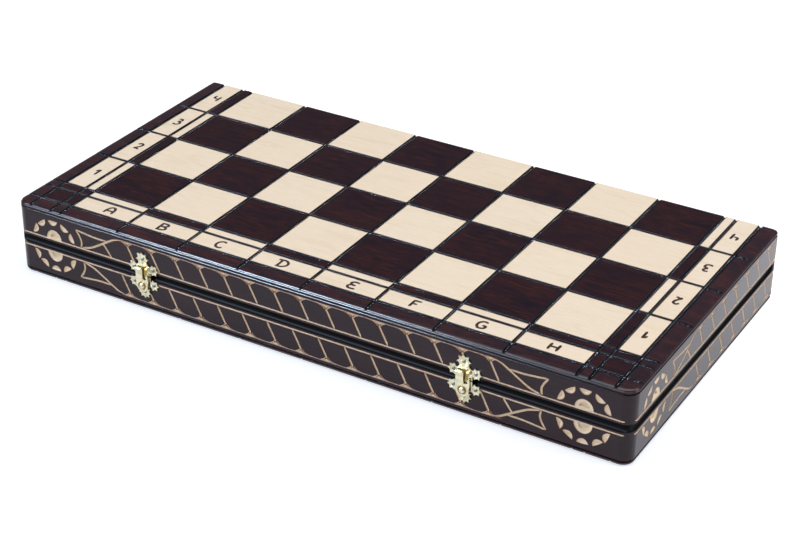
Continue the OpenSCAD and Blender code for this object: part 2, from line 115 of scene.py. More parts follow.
class Shader:
    """A node material written as a chain of short calls."""

    def __init__(self, name):
        self.material = bpy.data.materials.new(name)
        self.material.use_nodes = True
        self.tree = self.material.node_tree
        self.bsdf = self.tree.nodes["Principled BSDF"]
        self.place = self.node("ShaderNodeTexCoord", {}).outputs["Object"]

    def node(self, kind, inputs, **settings):
        made = self.tree.nodes.new(kind)
        for key, value in settings.items():
            setattr(made, key, value)
        for key, value in inputs.items():
            self.put(made.inputs[key], value)
        return made

    def put(self, socket, value):
        """Feeds a socket with a link or with a plain value; a plain colour gets its alpha."""
        if isinstance(value, bpy.types.NodeSocket):
            self.tree.links.new(value, socket)
        elif socket.type == "RGBA":
            socket.default_value = (*value[:3], 1)
        else:
            socket.default_value = value

    def scaled(self, scale, offset=(0, 0, 0)):
        """Object coordinates in cycles per metre, one scale for all axes or one for each."""
        scale = scale if isinstance(scale, tuple) else (scale, scale, scale)
        inputs = {"Vector": self.place, "Scale": scale, "Location": offset}
        return self.node("ShaderNodeMapping", inputs).outputs["Vector"]

    def noise(self, scale, detail, roughness=0.55, distortion=0.0, offset=(0, 0, 0)):
        inputs = {"Vector": self.scaled(scale, offset), "Scale": 1.0, "Detail": detail,
                  "Roughness": roughness, "Distortion": distortion}
        return self.node("ShaderNodeTexNoise", inputs).outputs["Fac"]

    def ramp(self, factor, *stops):
        """Colour or grey between two or more (position, colour) stops."""
        made = self.node("ShaderNodeValToRGB", {"Fac": factor})
        ramp = made.color_ramp
        while len(ramp.elements) < len(stops):
            ramp.elements.new(0.5)
        for element, (at, colour) in zip(ramp.elements, stops):
            element.position = at
            element.color = (*colour, 1) if isinstance(colour, tuple) else (colour, colour, colour, 1)
        return made.outputs["Color"]

    def mix(self, factor, a, b):
        return self.node("ShaderNodeMix", {0: factor, 6: a, 7: b}, data_type="RGBA").outputs[2]

    def math(self, operation, a, b=0.0):
        return self.node("ShaderNodeMath", {0: a, 1: b}, operation=operation).outputs[0]

    def tone(self):
        """The number from 0 to 1 that each tile carries."""
        return self.node("ShaderNodeAttribute", {}, attribute_name="tone").outputs["Fac"]

    def jump(self):
        """A shift from tile to tile, so that the grain doesn't run on across a groove."""
        shift = self.math("MULTIPLY", self.tone(), 37.0)
        return self.node("ShaderNodeCombineXYZ", {0: shift, 1: shift}).outputs[0]

    def axis(self, letter):
        return self.node("ShaderNodeSeparateXYZ", {0: self.place}).outputs[letter]

    def bump(self, height, strength, distance):
        inputs = {"Height": height, "Strength": strength, "Distance": distance}
        self.put(self.bsdf.inputs["Normal"], self.node("ShaderNodeBump", inputs).outputs["Normal"])

    def done(self, colour, roughness, specular=0.5, **values):
        """Fills the shader's sockets; an underscore in a key stands for a space."""
        values.update(Base_Color=colour, Roughness=roughness, Specular_IOR_Level=specular)
        for key, value in values.items():
            self.put(self.bsdf.inputs[key.replace("_", " ")], value)
        return self.material


def mottled(name, scale, detail, stops, roughness, specular, relief=None, **values):
    """A finish that wanders between two colours, with relief as (strength, distance)."""
    s = Shader(name)
    wander = s.noise(scale, detail)
    if relief:
        s.bump(wander, *relief)
    return s.done(s.ramp(wander, *stops), roughness, specular, **values)


def dark_veneer():
    """Dark brown stained tiles: near black patches, red-brown streaks along X, satin lacquer."""
    s = Shader("dark_veneer")
    jump = s.jump()
    patches = s.noise((22, 40, 30), 3, distortion=0.6, offset=jump)
    streaks = s.noise((45, 520, 60), 6, 0.65, 1.2, jump)
    pores = s.noise((260, 2600, 300), 3, 0.7, offset=jump)
    base = s.ramp(patches, (0.3, (0.0085, 0.0042, 0.0100)), (0.72, (0.021, 0.0068, 0.0105)))
    red = s.ramp(streaks, (0.48, 0.0), (0.72, 1.0))
    colour = s.mix(s.math("MULTIPLY", red, 0.8), base, (0.078, 0.017, 0.009))
    colour = s.mix(s.ramp(pores, (0.42, 0.55), (0.52, 0.0)), colour, (0.006, 0.004, 0.0045))
    s.bump(pores, 0.16, 0.0001)
    return s.done(colour, 0.3, 0.2)


def pale_veneer():
    """Pale maple tiles with faint grain along X, fine specks and a warm tint that varies by tile."""
    s = Shader("pale_veneer")
    jump = s.jump()
    figure = s.noise((16, 120, 30), 5, distortion=1.6, offset=jump)
    fibre = s.noise((120, 1500, 150), 4, 0.7, offset=jump)
    clouds = s.noise((14, 18, 14), 2)
    colour = s.ramp(figure, (0.32, (0.68, 0.57, 0.445)), (0.5, (0.705, 0.61, 0.495)),
                    (0.68, (0.65, 0.535, 0.405)))
    colour = s.mix(s.ramp(fibre, (0.4, 0.30), (0.6, 0.0)), colour, (0.58, 0.45, 0.31))
    colour = s.mix(s.ramp(clouds, (0.35, 0.0), (0.75, 0.32)), colour, (0.73, 0.585, 0.45))
    colour = s.mix(s.math("MULTIPLY", s.tone(), 0.12), colour, (0.68, 0.51, 0.36))
    s.bump(fibre, 0.08, 0.0001)
    return s.done(colour, 0.42, 0.3)


def groove_lacquer():
    """Blackened groove in which the lacquer has gathered in beads."""
    s = Shader("groove_lacquer")
    beads = s.node("ShaderNodeTexVoronoi", {"Vector": s.scaled(620), "Scale": 1.0})
    colour = s.ramp(s.noise(300, 3), (0.35, (0.002, 0.0026, 0.004)), (0.7, (0.007, 0.008, 0.012)))
    s.bump(beads.outputs["Distance"], 0.6, 0.0006)
    return s.done(colour, 0.4, 0.1)


def border_wood():
    """The dark stained border and moulded edge of the panel, a little redder than the tiles."""
    s = Shader("border_wood")
    streaks = s.noise((60, 420, 420), 6, 0.65, 1.0)
    patches = s.noise((18, 30, 30), 3)
    base = s.ramp(patches, (0.3, (0.012, 0.0065, 0.012)), (0.7, (0.028, 0.0105, 0.0145)))
    colour = s.mix(s.ramp(streaks, (0.48, 0.0), (0.72, 0.75)), base, (0.10, 0.025, 0.015))
    s.bump(streaks, 0.12, 0.0001)
    return s.done(colour, 0.3, 0.2, Coat_Weight=0.32, Coat_Roughness=0.07, Coat_Tint=(0.85, 0.93, 1.0))


def wall_wood():
    """Charcoal brown wall under a glossy lacquer, with faint streaks along the wall."""
    s = Shader("wall_wood")
    streaks = s.noise((14, 14, 420), 6, 0.6, 0.5)
    patches = s.noise((16, 16, 50), 3)
    base = s.ramp(patches, (0.3, (0.012, 0.0045, 0.009)), (0.7, (0.019, 0.0062, 0.0125)))
    colour = s.mix(s.ramp(streaks, (0.5, 0.0), (0.75, 0.5)), base, (0.028, 0.013, 0.012))
    s.bump(s.noise((700, 700, 1500), 2), 0.05, 0.00008)
    return s.done(colour, 0.18, 0.24)


def carved_wood():
    """Bare pale wood in the carved strokes, scorched brown along their edges, with a painted shade of tan at
    middle depth for the shaded side of each cut.
    """
    s = Shader("carved_wood")
    front_depth = s.math("SUBTRACT", s.axis("Y"), FRONT * MM)
    side_depth = s.math("SUBTRACT", CASE_L / 2 * MM, s.math("ABSOLUTE", s.axis("X")))
    depth = s.math("MULTIPLY", s.math("MINIMUM", front_depth, side_depth), 1 / MM)
    wander = s.noise(380, 4, 0.7)
    fibre = s.noise((260, 260, 1400), 3)
    pale = s.mix(s.ramp(fibre, (0.35, 0.0), (0.65, 1.0)), (0.82, 0.69, 0.53), (0.70, 0.55, 0.39))
    # painted shade: tan at middle depth, a wide band on the gentle side of a cut and a thin one on its steep
    # side
    pale = s.mix(s.ramp(depth, (0.30, 0.9), (0.62, 0.0)), pale, (0.62, 0.45, 0.29))
    edge = s.math("ADD", depth, s.math("MULTIPLY", s.math("SUBTRACT", wander, 0.5), 0.35))
    bare = s.ramp(edge, (0.05, 0.0), (0.20, 1.0))
    s.bump(fibre, 0.3, 0.0002)
    return s.done(s.mix(bare, (0.23, 0.085, 0.03), pale), 0.55, 0.25)


def brass(name, light, deep, roughness):
    """Brass sheet with soft tarnish in patches and fine rolling marks."""
    s = Shader(name)
    tarnish = s.noise(260, 4, 0.6)
    colour = s.mix(s.ramp(tarnish, (0.42, 0.0), (0.72, 0.75)), light, deep)
    s.bump(s.noise((300, 300, 4200), 2), 0.06, 0.00006)
    rough = s.ramp(tarnish, (0.3, roughness), (0.8, roughness + 0.16))
    return s.done(colour, rough, Metallic=1.0)


def flock():
    """Short green flock with a soft sheen."""
    s = Shader("flock")
    pile = s.noise(2200, 2)
    nap = s.noise(60, 3)
    colour = s.mix(pile, (0.010, 0.045, 0.024), (0.030, 0.105, 0.058))
    colour = s.mix(s.math("MULTIPLY", nap, 0.35), colour, (0.05, 0.14, 0.08))
    s.bump(pile, 0.6, 0.0004)
    return s.done(colour, 0.95, 0.1, Sheen_Weight=0.5, Sheen_Roughness=0.5)


def turned_wood(name, light, deep, roughness):
    """Turned and lacquered wood, its grain running along the lying pieces."""
    s = Shader(name)
    grain = s.noise((30, 330, 330), 6, 0.6, 0.8)
    fibre = s.noise((260, 2400, 2400), 3)
    colour = s.mix(s.ramp(grain, (0.35, 0.0), (0.7, 1.0)), light, deep)
    colour = s.mix(s.ramp(fibre, (0.4, 0.35), (0.55, 0.0)), colour, deep)
    s.bump(fibre, 0.08, 0.0001)
    return s.done(colour, roughness, Coat_Weight=0.4, Coat_Roughness=0.2)


def floor_paint():
    """Matt pale studio floor that glows evenly, with a painted pool of light glowing brighter towards the
    back right, where the right wall reflects it.
    """
    s = Shader("floor_paint")
    colour = s.mix(s.noise(3, 2), (0.50, 0.50, 0.50), (0.53, 0.53, 0.53))
    # painted light: a brighter glowing patch of floor to the right of the case, for the right wall to reflect
    right = s.ramp(s.math("ADD", s.axis("X"), 0.5), (0.70, 0.0), (0.745, 1.0))
    beyond = s.ramp(s.math("ADD", s.axis("Y"), 0.5), (0.43, 0.0), (0.62, 1.0))
    glow_with_painted_light = s.math("ADD", s.math("MULTIPLY", s.math("MULTIPLY", right, beyond), 0.36), 0.62)
    return s.done(colour, 0.9, 0.05, Emission_Color=(0.92, 0.95, 1.03), Emission_Strength=glow_with_painted_light)


# ---------- mesh helpers, in millimetres ----------

def finish_mesh(name, bm, materials, matrix=None, crease=35):
    """Turns a bmesh in millimetres into an object in metres, shaded smooth with sharp creases."""
    bmesh.ops.recalc_face_normals(bm, faces=bm.faces[:])
    mesh = bpy.data.meshes.new(name)
    bm.to_mesh(mesh)
    bm.free()
    if matrix:
        mesh.transform(matrix)
    mesh.transform(Matrix.Scale(MM, 4))
    for material in materials:
        mesh.materials.append(material)
    crease_mesh(mesh, crease)
    return put_in_scene(name, mesh)


def crease_mesh(mesh, angle=35):
    """Smooth shading with sharp edges at creases and wherever one finish meets another."""
    mesh.shade_smooth()
    mesh.set_sharp_from_angle(angle=radians(angle))
    if len(mesh.materials) < 2:
        return
    finishes = [set() for _ in mesh.edges]
    for face in mesh.polygons:
        for k in face.loop_indices:
            finishes[mesh.loops[k].edge_index].add(face.material_index)
    for edge, found in zip(mesh.edges, finishes):
        if len(found) > 1:
            edge.use_edge_sharp = True


def reshape(obj, kind, **settings):
    """Applies one modifier to the mesh of an object."""
    modifier = obj.modifiers.new(kind, kind)
    for key, value in settings.items():
        setattr(modifier, key, value)
    mesh = bpy.data.meshes.new_from_object(obj.evaluated_get(bpy.context.evaluated_depsgraph_get()))
    obj.modifiers.remove(modifier)
    old = obj.data
    obj.data = mesh
    bpy.data.meshes.remove(old)


def level_normals(obj):
    """Lets the large faces set the shading, so that flat wood beside a small cut still looks flat."""
    reshape(obj, "WEIGHTED_NORMAL", weight=90, keep_sharp=True)


def place_mesh(obj, matrix):
    """Moves a finished mesh by a matrix in millimetres; None leaves it."""
    if matrix:
        obj.data.transform(Matrix.Scale(MM, 4) @ matrix @ Matrix.Scale(1 / MM, 4))


def box(bm, low, high, index=0):
    """A box between two corners."""
    made = bmesh.ops.create_cube(bm, size=1)
    for v in made["verts"]:
        v.co = Vector([low[k] + (v.co[k] + 0.5) * (high[k] - low[k]) for k in range(3)])
    for f in {f for v in made["verts"] for f in v.link_faces}:
        f.material_index = index


def bridge(bm, rows, index=0):
    """Joins rings of vertices with quads; a ring of one vertex is reached by a fan."""
    count = max(len(row) for row in rows)
    for a, b in zip(rows, rows[1:]):
        for k in range(count):
            n = (k + 1) % count
            corners = [a[k % len(a)], a[n % len(a)], b[n % len(b)], b[k % len(b)]]
            corners = list(dict.fromkeys(corners))
            if len(corners) > 2:
                bm.faces.new(corners).material_index = index


def loft(bm, rings, index=0):
    """Joins rings of equal length with quads and caps both ends."""
    rows = [[bm.verts.new(p) for p in ring] for ring in rings]
    bridge(bm, rows, index)
    bm.faces.new(rows[0]).material_index = index
    bm.faces.new(rows[-1]).material_index = index


def boolean(obj, cutter_bm, matrix=None, operation="DIFFERENCE"):
    """Cuts obj with a closed cutter; cut faces take the cutter's material index."""
    cutter = finish_mesh("cutter", cutter_bm, list(obj.data.materials), matrix)
    reshape(obj, "BOOLEAN", operation=operation, solver="MANIFOLD", object=cutter)
    bpy.data.objects.remove(cutter)
    crease_mesh(obj.data)


def bevel(obj, width, segments=2, angle=40):
    """Rounds the sharp edges of a finished object; width in millimetres."""
    reshape(obj, "BEVEL", width=width * MM, segments=segments, limit_method="ANGLE",
            angle_limit=radians(angle))
    crease_mesh(obj.data)


def belong(obj, body, slot, *nodes):
    """Says which body and CAD nodes a piece goes with; its finish, slot, is not used."""
    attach(obj, body)
    if nodes:
        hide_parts(*nodes)


def arc(centre, radius, start, stop, count):
    """Points of an arc in count steps between two angles in degrees."""
    turn = [radians(start + (stop - start) * k / count) for k in range(count + 1)]
    return [(centre[0] + radius * cos(t), centre[1] + radius * sin(t)) for t in turn]


def smooth_path(points, steps=6):
    """Catmull-Rom curve through a few points of any dimension."""
    path = []
    ends = [points[0], *points, points[-1]]
    for p0, p1, p2, p3 in zip(ends, ends[1:], ends[2:], ends[3:]):
        for k in range(steps):
            t = k / steps
            path.append(tuple(
                0.5 * (2 * b + (c - a) * t + (2 * a - 5 * b + 4 * c - d) * t * t
                       + (3 * b - a - 3 * c + d) * t ** 3)
                for a, b, c, d in zip(p0, p1, p2, p3)))
    path.append(tuple(points[-1]))
    return path


def even(path, step):
    """The path with points added, so that no two neighbours lie further apart than step."""
    points = [tuple(path[0])]
    for a, b in zip(path, path[1:]):
        parts = max(1, ceil(dist(a, b) / step))
        points += [tuple(p + (q - p) * k / parts for p, q in zip(a, b)) for k in range(1, parts + 1)]
    return points


# ---------- gouge cuts ----------

def gouge(bm, surface, path, width, taper=(0.25, 0.25), depth=0.6, index=1):
    """A tapering round-bottomed cut along path; surface(a, g, d) is the point d below the surface."""
    points = [Vector(p) for p in even(path, 0.7 * width)]
    run = [0.0]
    for a, b in zip(points, points[1:]):
        run.append(run[-1] + (b - a).length)
    rings = []
    for k, p in enumerate(points):
        along = run[k] / run[-1]
        swell = min(1.0, along / max(taper[0], 1e-6), (1 - along) / max(taper[1], 1e-6))
        w = width * (0.12 + 0.88 * sin(max(swell, 0) * pi / 2))
        ahead = (points[min(k + 1, len(points) - 1)] - points[max(k - 1, 0)]).normalized()
        across = Vector((-ahead.y, ahead.x)) * w
        flank = [(0.62, -0.25 * w - 0.1), (0.5, 0), (0.39, 0.45 * depth * w), (0.2, 0.95 * depth * w)]
        section = flank + [(-s, d) for s, d in reversed(flank)]
        rings.append([surface(*(p + across * s), d) for s, d in section])
    loft(bm, rings, index)


def chip(bm, surface, outline, apex, index=1, lift=0.4, belly=((0.62, 0.62), (0.3, 0.9))):
    """A chip-carved hollow that deepens in steps (share of the outline, share of the depth)."""
    rows = []
    for share, depth in ((1, -lift / apex[2]), (1, 0), *belly):
        ring = [(apex[0] + (a - apex[0]) * share, apex[1] + (g - apex[1]) * share) for a, g in outline]
        rows.append([bm.verts.new(surface(a, g, depth * apex[2])) for a, g in ring])
    bm.faces.new(rows[0]).material_index = index
    bridge(bm, [*rows, [bm.verts.new(surface(*apex))]], index)


# Carved pattern of one wall. A point is (a, g): a runs along the wall, g is the distance from the rim.
RIM_LINE = 5.0
TIP = 18.2
FOOT_LINE = 21.4
SLANT_TOP = 5.4
PITCH = 20.23
LEAN = 6.6
LINE_W = 1.5
FLAG_SIDE = [(58.1, 5.4), (58.8, 10.4), (56.9, 15.1), (54.0, 19.0)]
FLAG_BASE = [(54.4, 18.9), (62.0, 17.9), (72.9, 17.0), (82.3, 17.3)]
FLAG_SWEEP = [(57.8, 5.6), (66.7, 8.0), (74.5, 12.3), (82.3, 17.1), (87.8, 20.1), (94.5, FOOT_LINE)]
FLAG_STUB = [(77.6, 15.2), (84.8, 5.4)]
ROSETTE_RADII = (17.6, 14.0)
LEAF_ANGLES = (22, 56, 91, 126, 158)
MOON_R = (6.6, 7.4)               # half-moon: half-width and height
MOON_BELLY = ((0.9, 0.24), (0.62, 0.36), (0.54, 0.9))
LEAF_HALF = 4.3
LEAF_BELLY = ((0.84, 0.2), (0.4, 0.72))


def rosette(bm, surface, centre, way):
    """Five leaf chips round a half-moon chip that sits on the rim line."""
    half_turn = [radians(t) for t in range(0, 181, 15)]
    moon = [(centre + MOON_R[0] * cos(t), RIM_LINE + 0.2 + MOON_R[1] * sin(t)) for t in half_turn]
    chip(bm, surface, moon, (centre, RIM_LINE + 2.2, 2.6), belly=MOON_BELLY)
    for degrees in LEAF_ANGLES:
        t = radians(degrees)
        out = Vector((cos(t) * way, sin(t)))
        along = Vector((-out.y, out.x)) * way
        middle = Vector((centre + ROSETTE_RADII[0] * out.x, RIM_LINE + ROSETTE_RADII[1] * out.y))
        leaf = []
        for k in range(24):
            u = min(k, 24 - k) / 12
            rise = sin(pi * u)
            edge = 0.7 + (0.35 * rise if k <= 12 else -3.7 * rise ** 0.62)
            leaf.append(middle + along * (LEAF_HALF * (2 * u - 1)) + out * edge)
        apex = middle - out * 0.1
        chip(bm, surface, leaf, (apex.x, apex.y, 1.6), belly=LEAF_BELLY)


def flag(bm, bm_over, surface, at, way, stub):
    """The pennant that opens the row: two curved sides and a sweep that runs into the foot line."""
    def placed(points):
        return [(at + way * q, g) for q, g in smooth_path(points)]
    gouge(bm, surface, placed(FLAG_SIDE), LINE_W, (0.1, 0.15))
    gouge(bm_over, surface, placed(FLAG_BASE), LINE_W, (0.1, 0.2))
    gouge(bm, surface, placed(FLAG_SWEEP), LINE_W + 0.1, (0.15, 0.3))
    if stub:
        gouge(bm_over, surface, placed(FLAG_STUB), LINE_W, (0.15, 0.1))


def scallop(bm, bm_over, surface, tip, lean):
    """A slanted line that bends into the foot line, and the little hollow triangle at its end."""
    way = -1 if lean < 0 else 1
    run = [(tip + lean, SLANT_TOP), (tip + 0.02 * lean, 18.3), (tip - way * 0.1, 19.2)]
    gouge(bm, surface, run, LINE_W, (0.14, 0.05))
    tail = [(tip - way * 0.9, 18.4), (tip - way * 2.7, 20.2), (tip - way * 5.6, 21.2),
            (tip - way * 10.0, FOOT_LINE)]
    gouge(bm_over, surface, smooth_path(tail), 0.85, (0.05, 0.8), 0.17)
    side = [(tip + way * 0.9, 18.7), (tip + way * 2.2, 20.3), (tip + way * 4.9, FOOT_LINE)]
    gouge(bm_over, surface, smooth_path(side), 0.85, (0.05, 0.4), 0.3)
    hollow = [(tip, TIP + 0.9), (tip - way * 1.5, 20.2), (tip - way * 4.4, FOOT_LINE - 0.1),
              (tip, FOOT_LINE + 0.1), (tip + way * 4.2, FOOT_LINE - 0.1), (tip + way * 1.7, 20.3)]
    return hollow, (tip - way * 0.4, 20.9, 0.3)


def straight(start, end, g):
    """Points along a wall at one distance from the rim."""
    return [(start + (end - start) * k / 12, g) for k in range(13)]


def carve_wall(wall, surface, matrix, ends, foot, tips, lean, rosettes, flags, closing=None):
    """Cuts the whole pattern in a few passes, so that strokes of one pass don't cross each other."""
    first, second, third, fourth, fifth = passes = [bmesh.new() for _ in range(5)]
    gouge(first, surface, straight(*ends, RIM_LINE), 1.2, (0.0, 0.0), 0.5)
    gouge(fifth, surface, straight(*foot, FOOT_LINE + 0.2), 0.55, (0.02, 0.02), 0.3)
    hollows = [scallop(second, third, surface, tip, lean) for tip in tips]
    for at, way, stub in flags:
        flag(second, third, surface, at, way, stub)
    for centre, way in rosettes:
        rosette(fourth, surface, centre, way)
    for outline, apex in hollows:
        chip(fourth, surface, outline, apex)
    if closing:
        upright = [(closing, g) for g in (RIM_LINE - 0.4, 10, 16, FOOT_LINE + 0.4)]
        gouge(third, surface, upright, LINE_W, (0.05, 0.05))
    for bm in passes:
        boolean(wall, bm, matrix)
    level_normals(wall)


# ---------- half case ----------

RECESS_END = BACK - 4      # where the recess of a side wall ends, and over what length it runs out
RUN_OUT = 2.5


def cove(height):
    """Depth of the routed recess at a distance below the rim: a rounded lip and a quarter cove."""
    if height >= RECESS_H:
        lip = (RECESS_H + 0.7 - height) / 0.7
        return 0.28 * lip ** 2 if lip > 0 else 0.0
    return 0.28 + (RECESS_D - 0.28) * sqrt(max(0.0, 1 - (height / RECESS_H) ** 2))


def wall_levels():
    """Heights of the rings of a wall, from the panel to the rim, with the recess cut finely."""
    levels = [PANEL_T, PANEL_T + 0.12, PANEL_T + 0.4]
    levels += [HALF_H - g for g in (RECESS_H + 0.7, RECESS_H + 0.45, RECESS_H + 0.2, RECESS_H)]
    levels += [HALF_H - RECESS_H * cos(radians(t)) for t in range(12, 85, 12)]
    return levels + [HALF_H]


def corner_arc(side, start, stop):
    """Points of a front corner's arc in plan; angles from the front face (0) to the side face (90)."""
    centre = (side * (CASE_L / 2 - CORNER_R), FRONT + CORNER_R)
    return [Vector(p) for p in arc(centre, CORNER_R, side * start - 90, side * stop - 90, 8)]


def eased(level):
    """How far the wall's face stands back at the small rounding against the panel."""
    return max(0.0, 0.4 - (level - PANEL_T)) ** 2 * 2


def wall_ring(plan, level):
    """Plan outline pushed back to the recess planes at this level; the recess runs out near the back."""
    ring = []
    for p in plan:
        reach = max(0.0, min(1.0, (RECESS_END - p.y) / RUN_OUT)) ** 0.5
        cut = cove(HALF_H - level) * reach + eased(level)
        x = max(-CASE_L / 2 + cut, min(CASE_L / 2 - cut, p.x))
        ring.append((x, max(FRONT + cut, p.y), level))
    return ring


def stain_recess(bm):
    """Gives the hollow of the recess, above its lip, the third material: near black, for its dark stain and a
    painted shade of the hollow.
    """
    for f in bm.faces:
        heights = [v.co.z for v in f.verts]
        if min(heights) > HALF_H - RECESS_H - 0.01 and max(heights) - min(heights) > 0.001:
            f.material_index = 2


def front_plan():
    """Outline of the front wall from above: mitred corners, and a point at every square."""
    plan = corner_arc(-1, 45, 0)
    plan += [Vector((FIELD_X + k * SQUARE, FRONT)) for k in range(9)]
    plan += corner_arc(1, 0, 45)
    return plan + [Vector((INNER_X, INNER_FRONT)), Vector((-INNER_X, INNER_FRONT))]


def side_plan(side):
    """Outline of a side wall from above, with close points where the recess runs out."""
    outer = side * CASE_L / 2
    plan = corner_arc(side, 45, 90)
    plan += [Vector((outer, FRONT + CORNER_R + k * 27)) for k in range(1, 8)]
    plan += [Vector((outer, RECESS_END - d)) for d in (RUN_OUT, 1.8, 1.1, 0.5, 0.1, 0)]
    inner = side * INNER_X
    return plan + [Vector((outer, BACK)), Vector((inner, BACK)), Vector((inner, INNER_FRONT))]


def raise_wall(name, plan, matrix, finishes):
    """Stacks the plan in levels and gives its recess the near black of stain and painted shade."""
    bm = bmesh.new()
    loft(bm, [wall_ring(plan, level) for level in wall_levels()])
    stain_recess(bm)
    return finish_mesh(name, bm, finishes, matrix)


def front_surface(a, g, d):
    """The point of the front wall that is d below its face, a along it and g from the rim."""
    return Vector((a, FRONT + d, HALF_H - g))


def side_surface(side):
    """The same for a side wall, with a counted from the front."""
    return lambda a, g, d: Vector((side * (CASE_L / 2 - d), FRONT + a, HALF_H - g))


# Where the pattern starts: flag to foot line, and the places of rosette, flag and foot line from the corner
FLAG_L = 90
FRONT_ROSETTE = 32.6
SIDE_ROSETTE = 34.7
SIDE_FLAG = 4.5
SIDE_FOOT = 96
SIDE_PATTERNS = ((1, 107.3, False), (-1, 102.6, True))     # side, first scallop, whether the flag has a stub


def build_walls(half, matrix, materials):
    """The three carved walls; the pattern is drawn on the lower half and turned over with the case."""
    finishes = [materials["wall"], materials["carved"], materials["recess"]]
    half_l = CASE_L / 2
    wall = raise_wall(half + "_carved_front", front_plan(), matrix, finishes)
    tips = [PITCH * (k - 7) for k in range(15)]
    left, right = (-half_l + 3.2, half_l + 1.4) if matrix else (-half_l, half_l - 3.2)
    carve_wall(wall, front_surface, matrix, (-half_l + 4, half_l - 4), (left + FLAG_L, right - FLAG_L), tips,
               -LEAN, [(-half_l + FRONT_ROSETTE, 1), (half_l - FRONT_ROSETTE, -1)],
               [(left, 1, False), (right, -1, True)])
    belong(wall, half + "_half", "carved_wall", half + "_front_wall")

    depth = BACK - FRONT
    for side, first_tip, stub in SIDE_PATTERNS:
        name = SIDE_NAMES[-side if matrix else side]
        wall = raise_wall(f"{half}_carved_{name}", side_plan(side), matrix, finishes)
        tips = [first_tip + PITCH * k for k in range(7)]
        carve_wall(wall, side_surface(side), matrix, (4, depth + 1), (SIDE_FOOT, depth - 2), tips,
                   -side * LEAN, [(SIDE_ROSETTE, 1)], [(SIDE_FLAG, 1, stub)], depth - 2.2)
        belong(wall, half + "_half", "carved_wall", f"{half}_{name}_wall")


# Moulded edge of the panel: how far it stands back, and the height above the playing face
MOULDING = [
    (8.0, 0.0), (4.6, 0.06), (3.0, 0.2), (2.0, 0.4), (1.3, 0.65), (0.85, 0.95), (0.65, 1.25),
    (1.15, 1.45), (0.8, 1.6), (0.4, 1.8), (0.15, 2.1), (0.05, 2.5), (0.2, 2.85), (0.6, 3.05),
    (1.5, 3.15), (1.5, 3.75), (0.7, 3.85), (0.6, PANEL_T),
]


def panel_outline(inset):
    """The panel from above, standing back by inset, with its two rounded front corners."""
    r = max(CORNER_R - inset, 0.6)
    half_l = CASE_L / 2 - inset
    front = FRONT + inset
    right = arc((half_l - r, front + r), r, -90, 0, 10)
    left = [(-x, y) for x, y in reversed(right)]
    return [(-half_l, BACK), *left, *right, (half_l, BACK)]


GROOVE_SECTION = [(-2.3, -1.0), (2.3, -1.0), (1.45, 0.0), (0.95, 1.1), (0, 1.5), (-0.95, 1.1), (-1.45, 0.0)]
OVERLAP = 0.4             # how far the grooves of the border reach into the pocket


def groove_cutter(bm, start, end):
    """V-shaped cutter with a rounded foot, from start to end, for the lines across the border."""
    across = (1, 0) if start[0] == end[0] else (0, 1)
    loft(bm, [[(x + across[0] * s, y + across[1] * s, d) for s, d in GROOVE_SECTION]
              for x, y in (start, end)], 1)


def build_panel(half, matrix, materials):
    """Moulded core panel with a pocket for the tiles and grooves across its border, in four passes."""
    bm = bmesh.new()
    loft(bm, [[(x, y, level) for x, y in panel_outline(inset)] for inset, level in MOULDING])
    panel = finish_mesh(half + "_moulded_panel", bm, [materials["border"], materials["groove"]], matrix)
    reach = 4 * SQUARE + LABEL_LINE
    front = FIELD_Y - LABEL_LINE
    pocket = bmesh.new()
    half_w = GROOVE_W / 2
    box(pocket, (-reach - half_w, front - half_w, -1), (reach + half_w, BACK + 1, TILE_T), 1)
    boolean(panel, pocket, matrix)
    edge_x = CASE_L / 2 + 1
    files = [((FIELD_X + x, FRONT - 1), (FIELD_X + x, front + OVERLAP)) for x in X_LINES]
    ranks = [((side * edge_x, FIELD_Y + y), (side * (reach - OVERLAP), FIELD_Y + y))
             for y in Y_LINES[:-1] for side in (-1, 1)]
    rim = reach + OVERLAP / 2
    sides = [((side * rim, front), (side * rim, BACK + 1)) for side in (-1, 1)]
    along_front = [((-reach, front - OVERLAP / 2), (reach, front - OVERLAP / 2))]
    for lines in (files, ranks, sides, along_front):
        cutter = bmesh.new()
        for start, end in lines:
            groove_cutter(cutter, start, end)
        boolean(panel, cutter, matrix)
    level_normals(panel)
    belong(panel, half + "_half", "stained_panel", half + "_panel")


DROP_RINGS = ((1.0, 1.05), (0.85, 0.55), (0.42, 0.24))     # share of the drop's radius, height


def bead_line(bm, start, end, seed):
    """Hardened drops of lacquer along a groove, uneven in size and spacing."""
    start, end = Vector(start), Vector(end)
    length = (end - start).length
    along = (end - start) / length
    across = Vector((-along.y, along.x))
    run = 0.8
    while run < length - 0.6:
        chance = modf(abs(sin((run + seed) * 91.7)) * 437.58)[0]
        size = 0.5 + 0.28 * chance
        centre = start + along * run + across * (0.2 * (chance - 0.5))
        turn = [2 * pi * (k + chance) / 6 for k in range(6)]
        loft(bm, [[(centre.x + size * share * cos(t), centre.y + size * share * sin(t), height)
                   for t in turn] for share, height in DROP_RINGS])
        run += 1.9 + 1.1 * chance


def build_beads(half, matrix, materials):
    """Drops in every groove of the field, the strips and the border."""
    bm = bmesh.new()
    for x in X_LINES:
        bead_line(bm, (FIELD_X + x, FRONT + 3), (FIELD_X + x, BACK - 1), x)
    for y in Y_LINES[:-1]:
        bead_line(bm, (-CASE_L / 2 + 3, FIELD_Y + y), (CASE_L / 2 - 3, FIELD_Y + y), y)
    beads = finish_mesh(half + "_lacquer_drops", bm, [materials["bead"]], matrix, 80)
    belong(beads, half + "_half", "stained_panel")


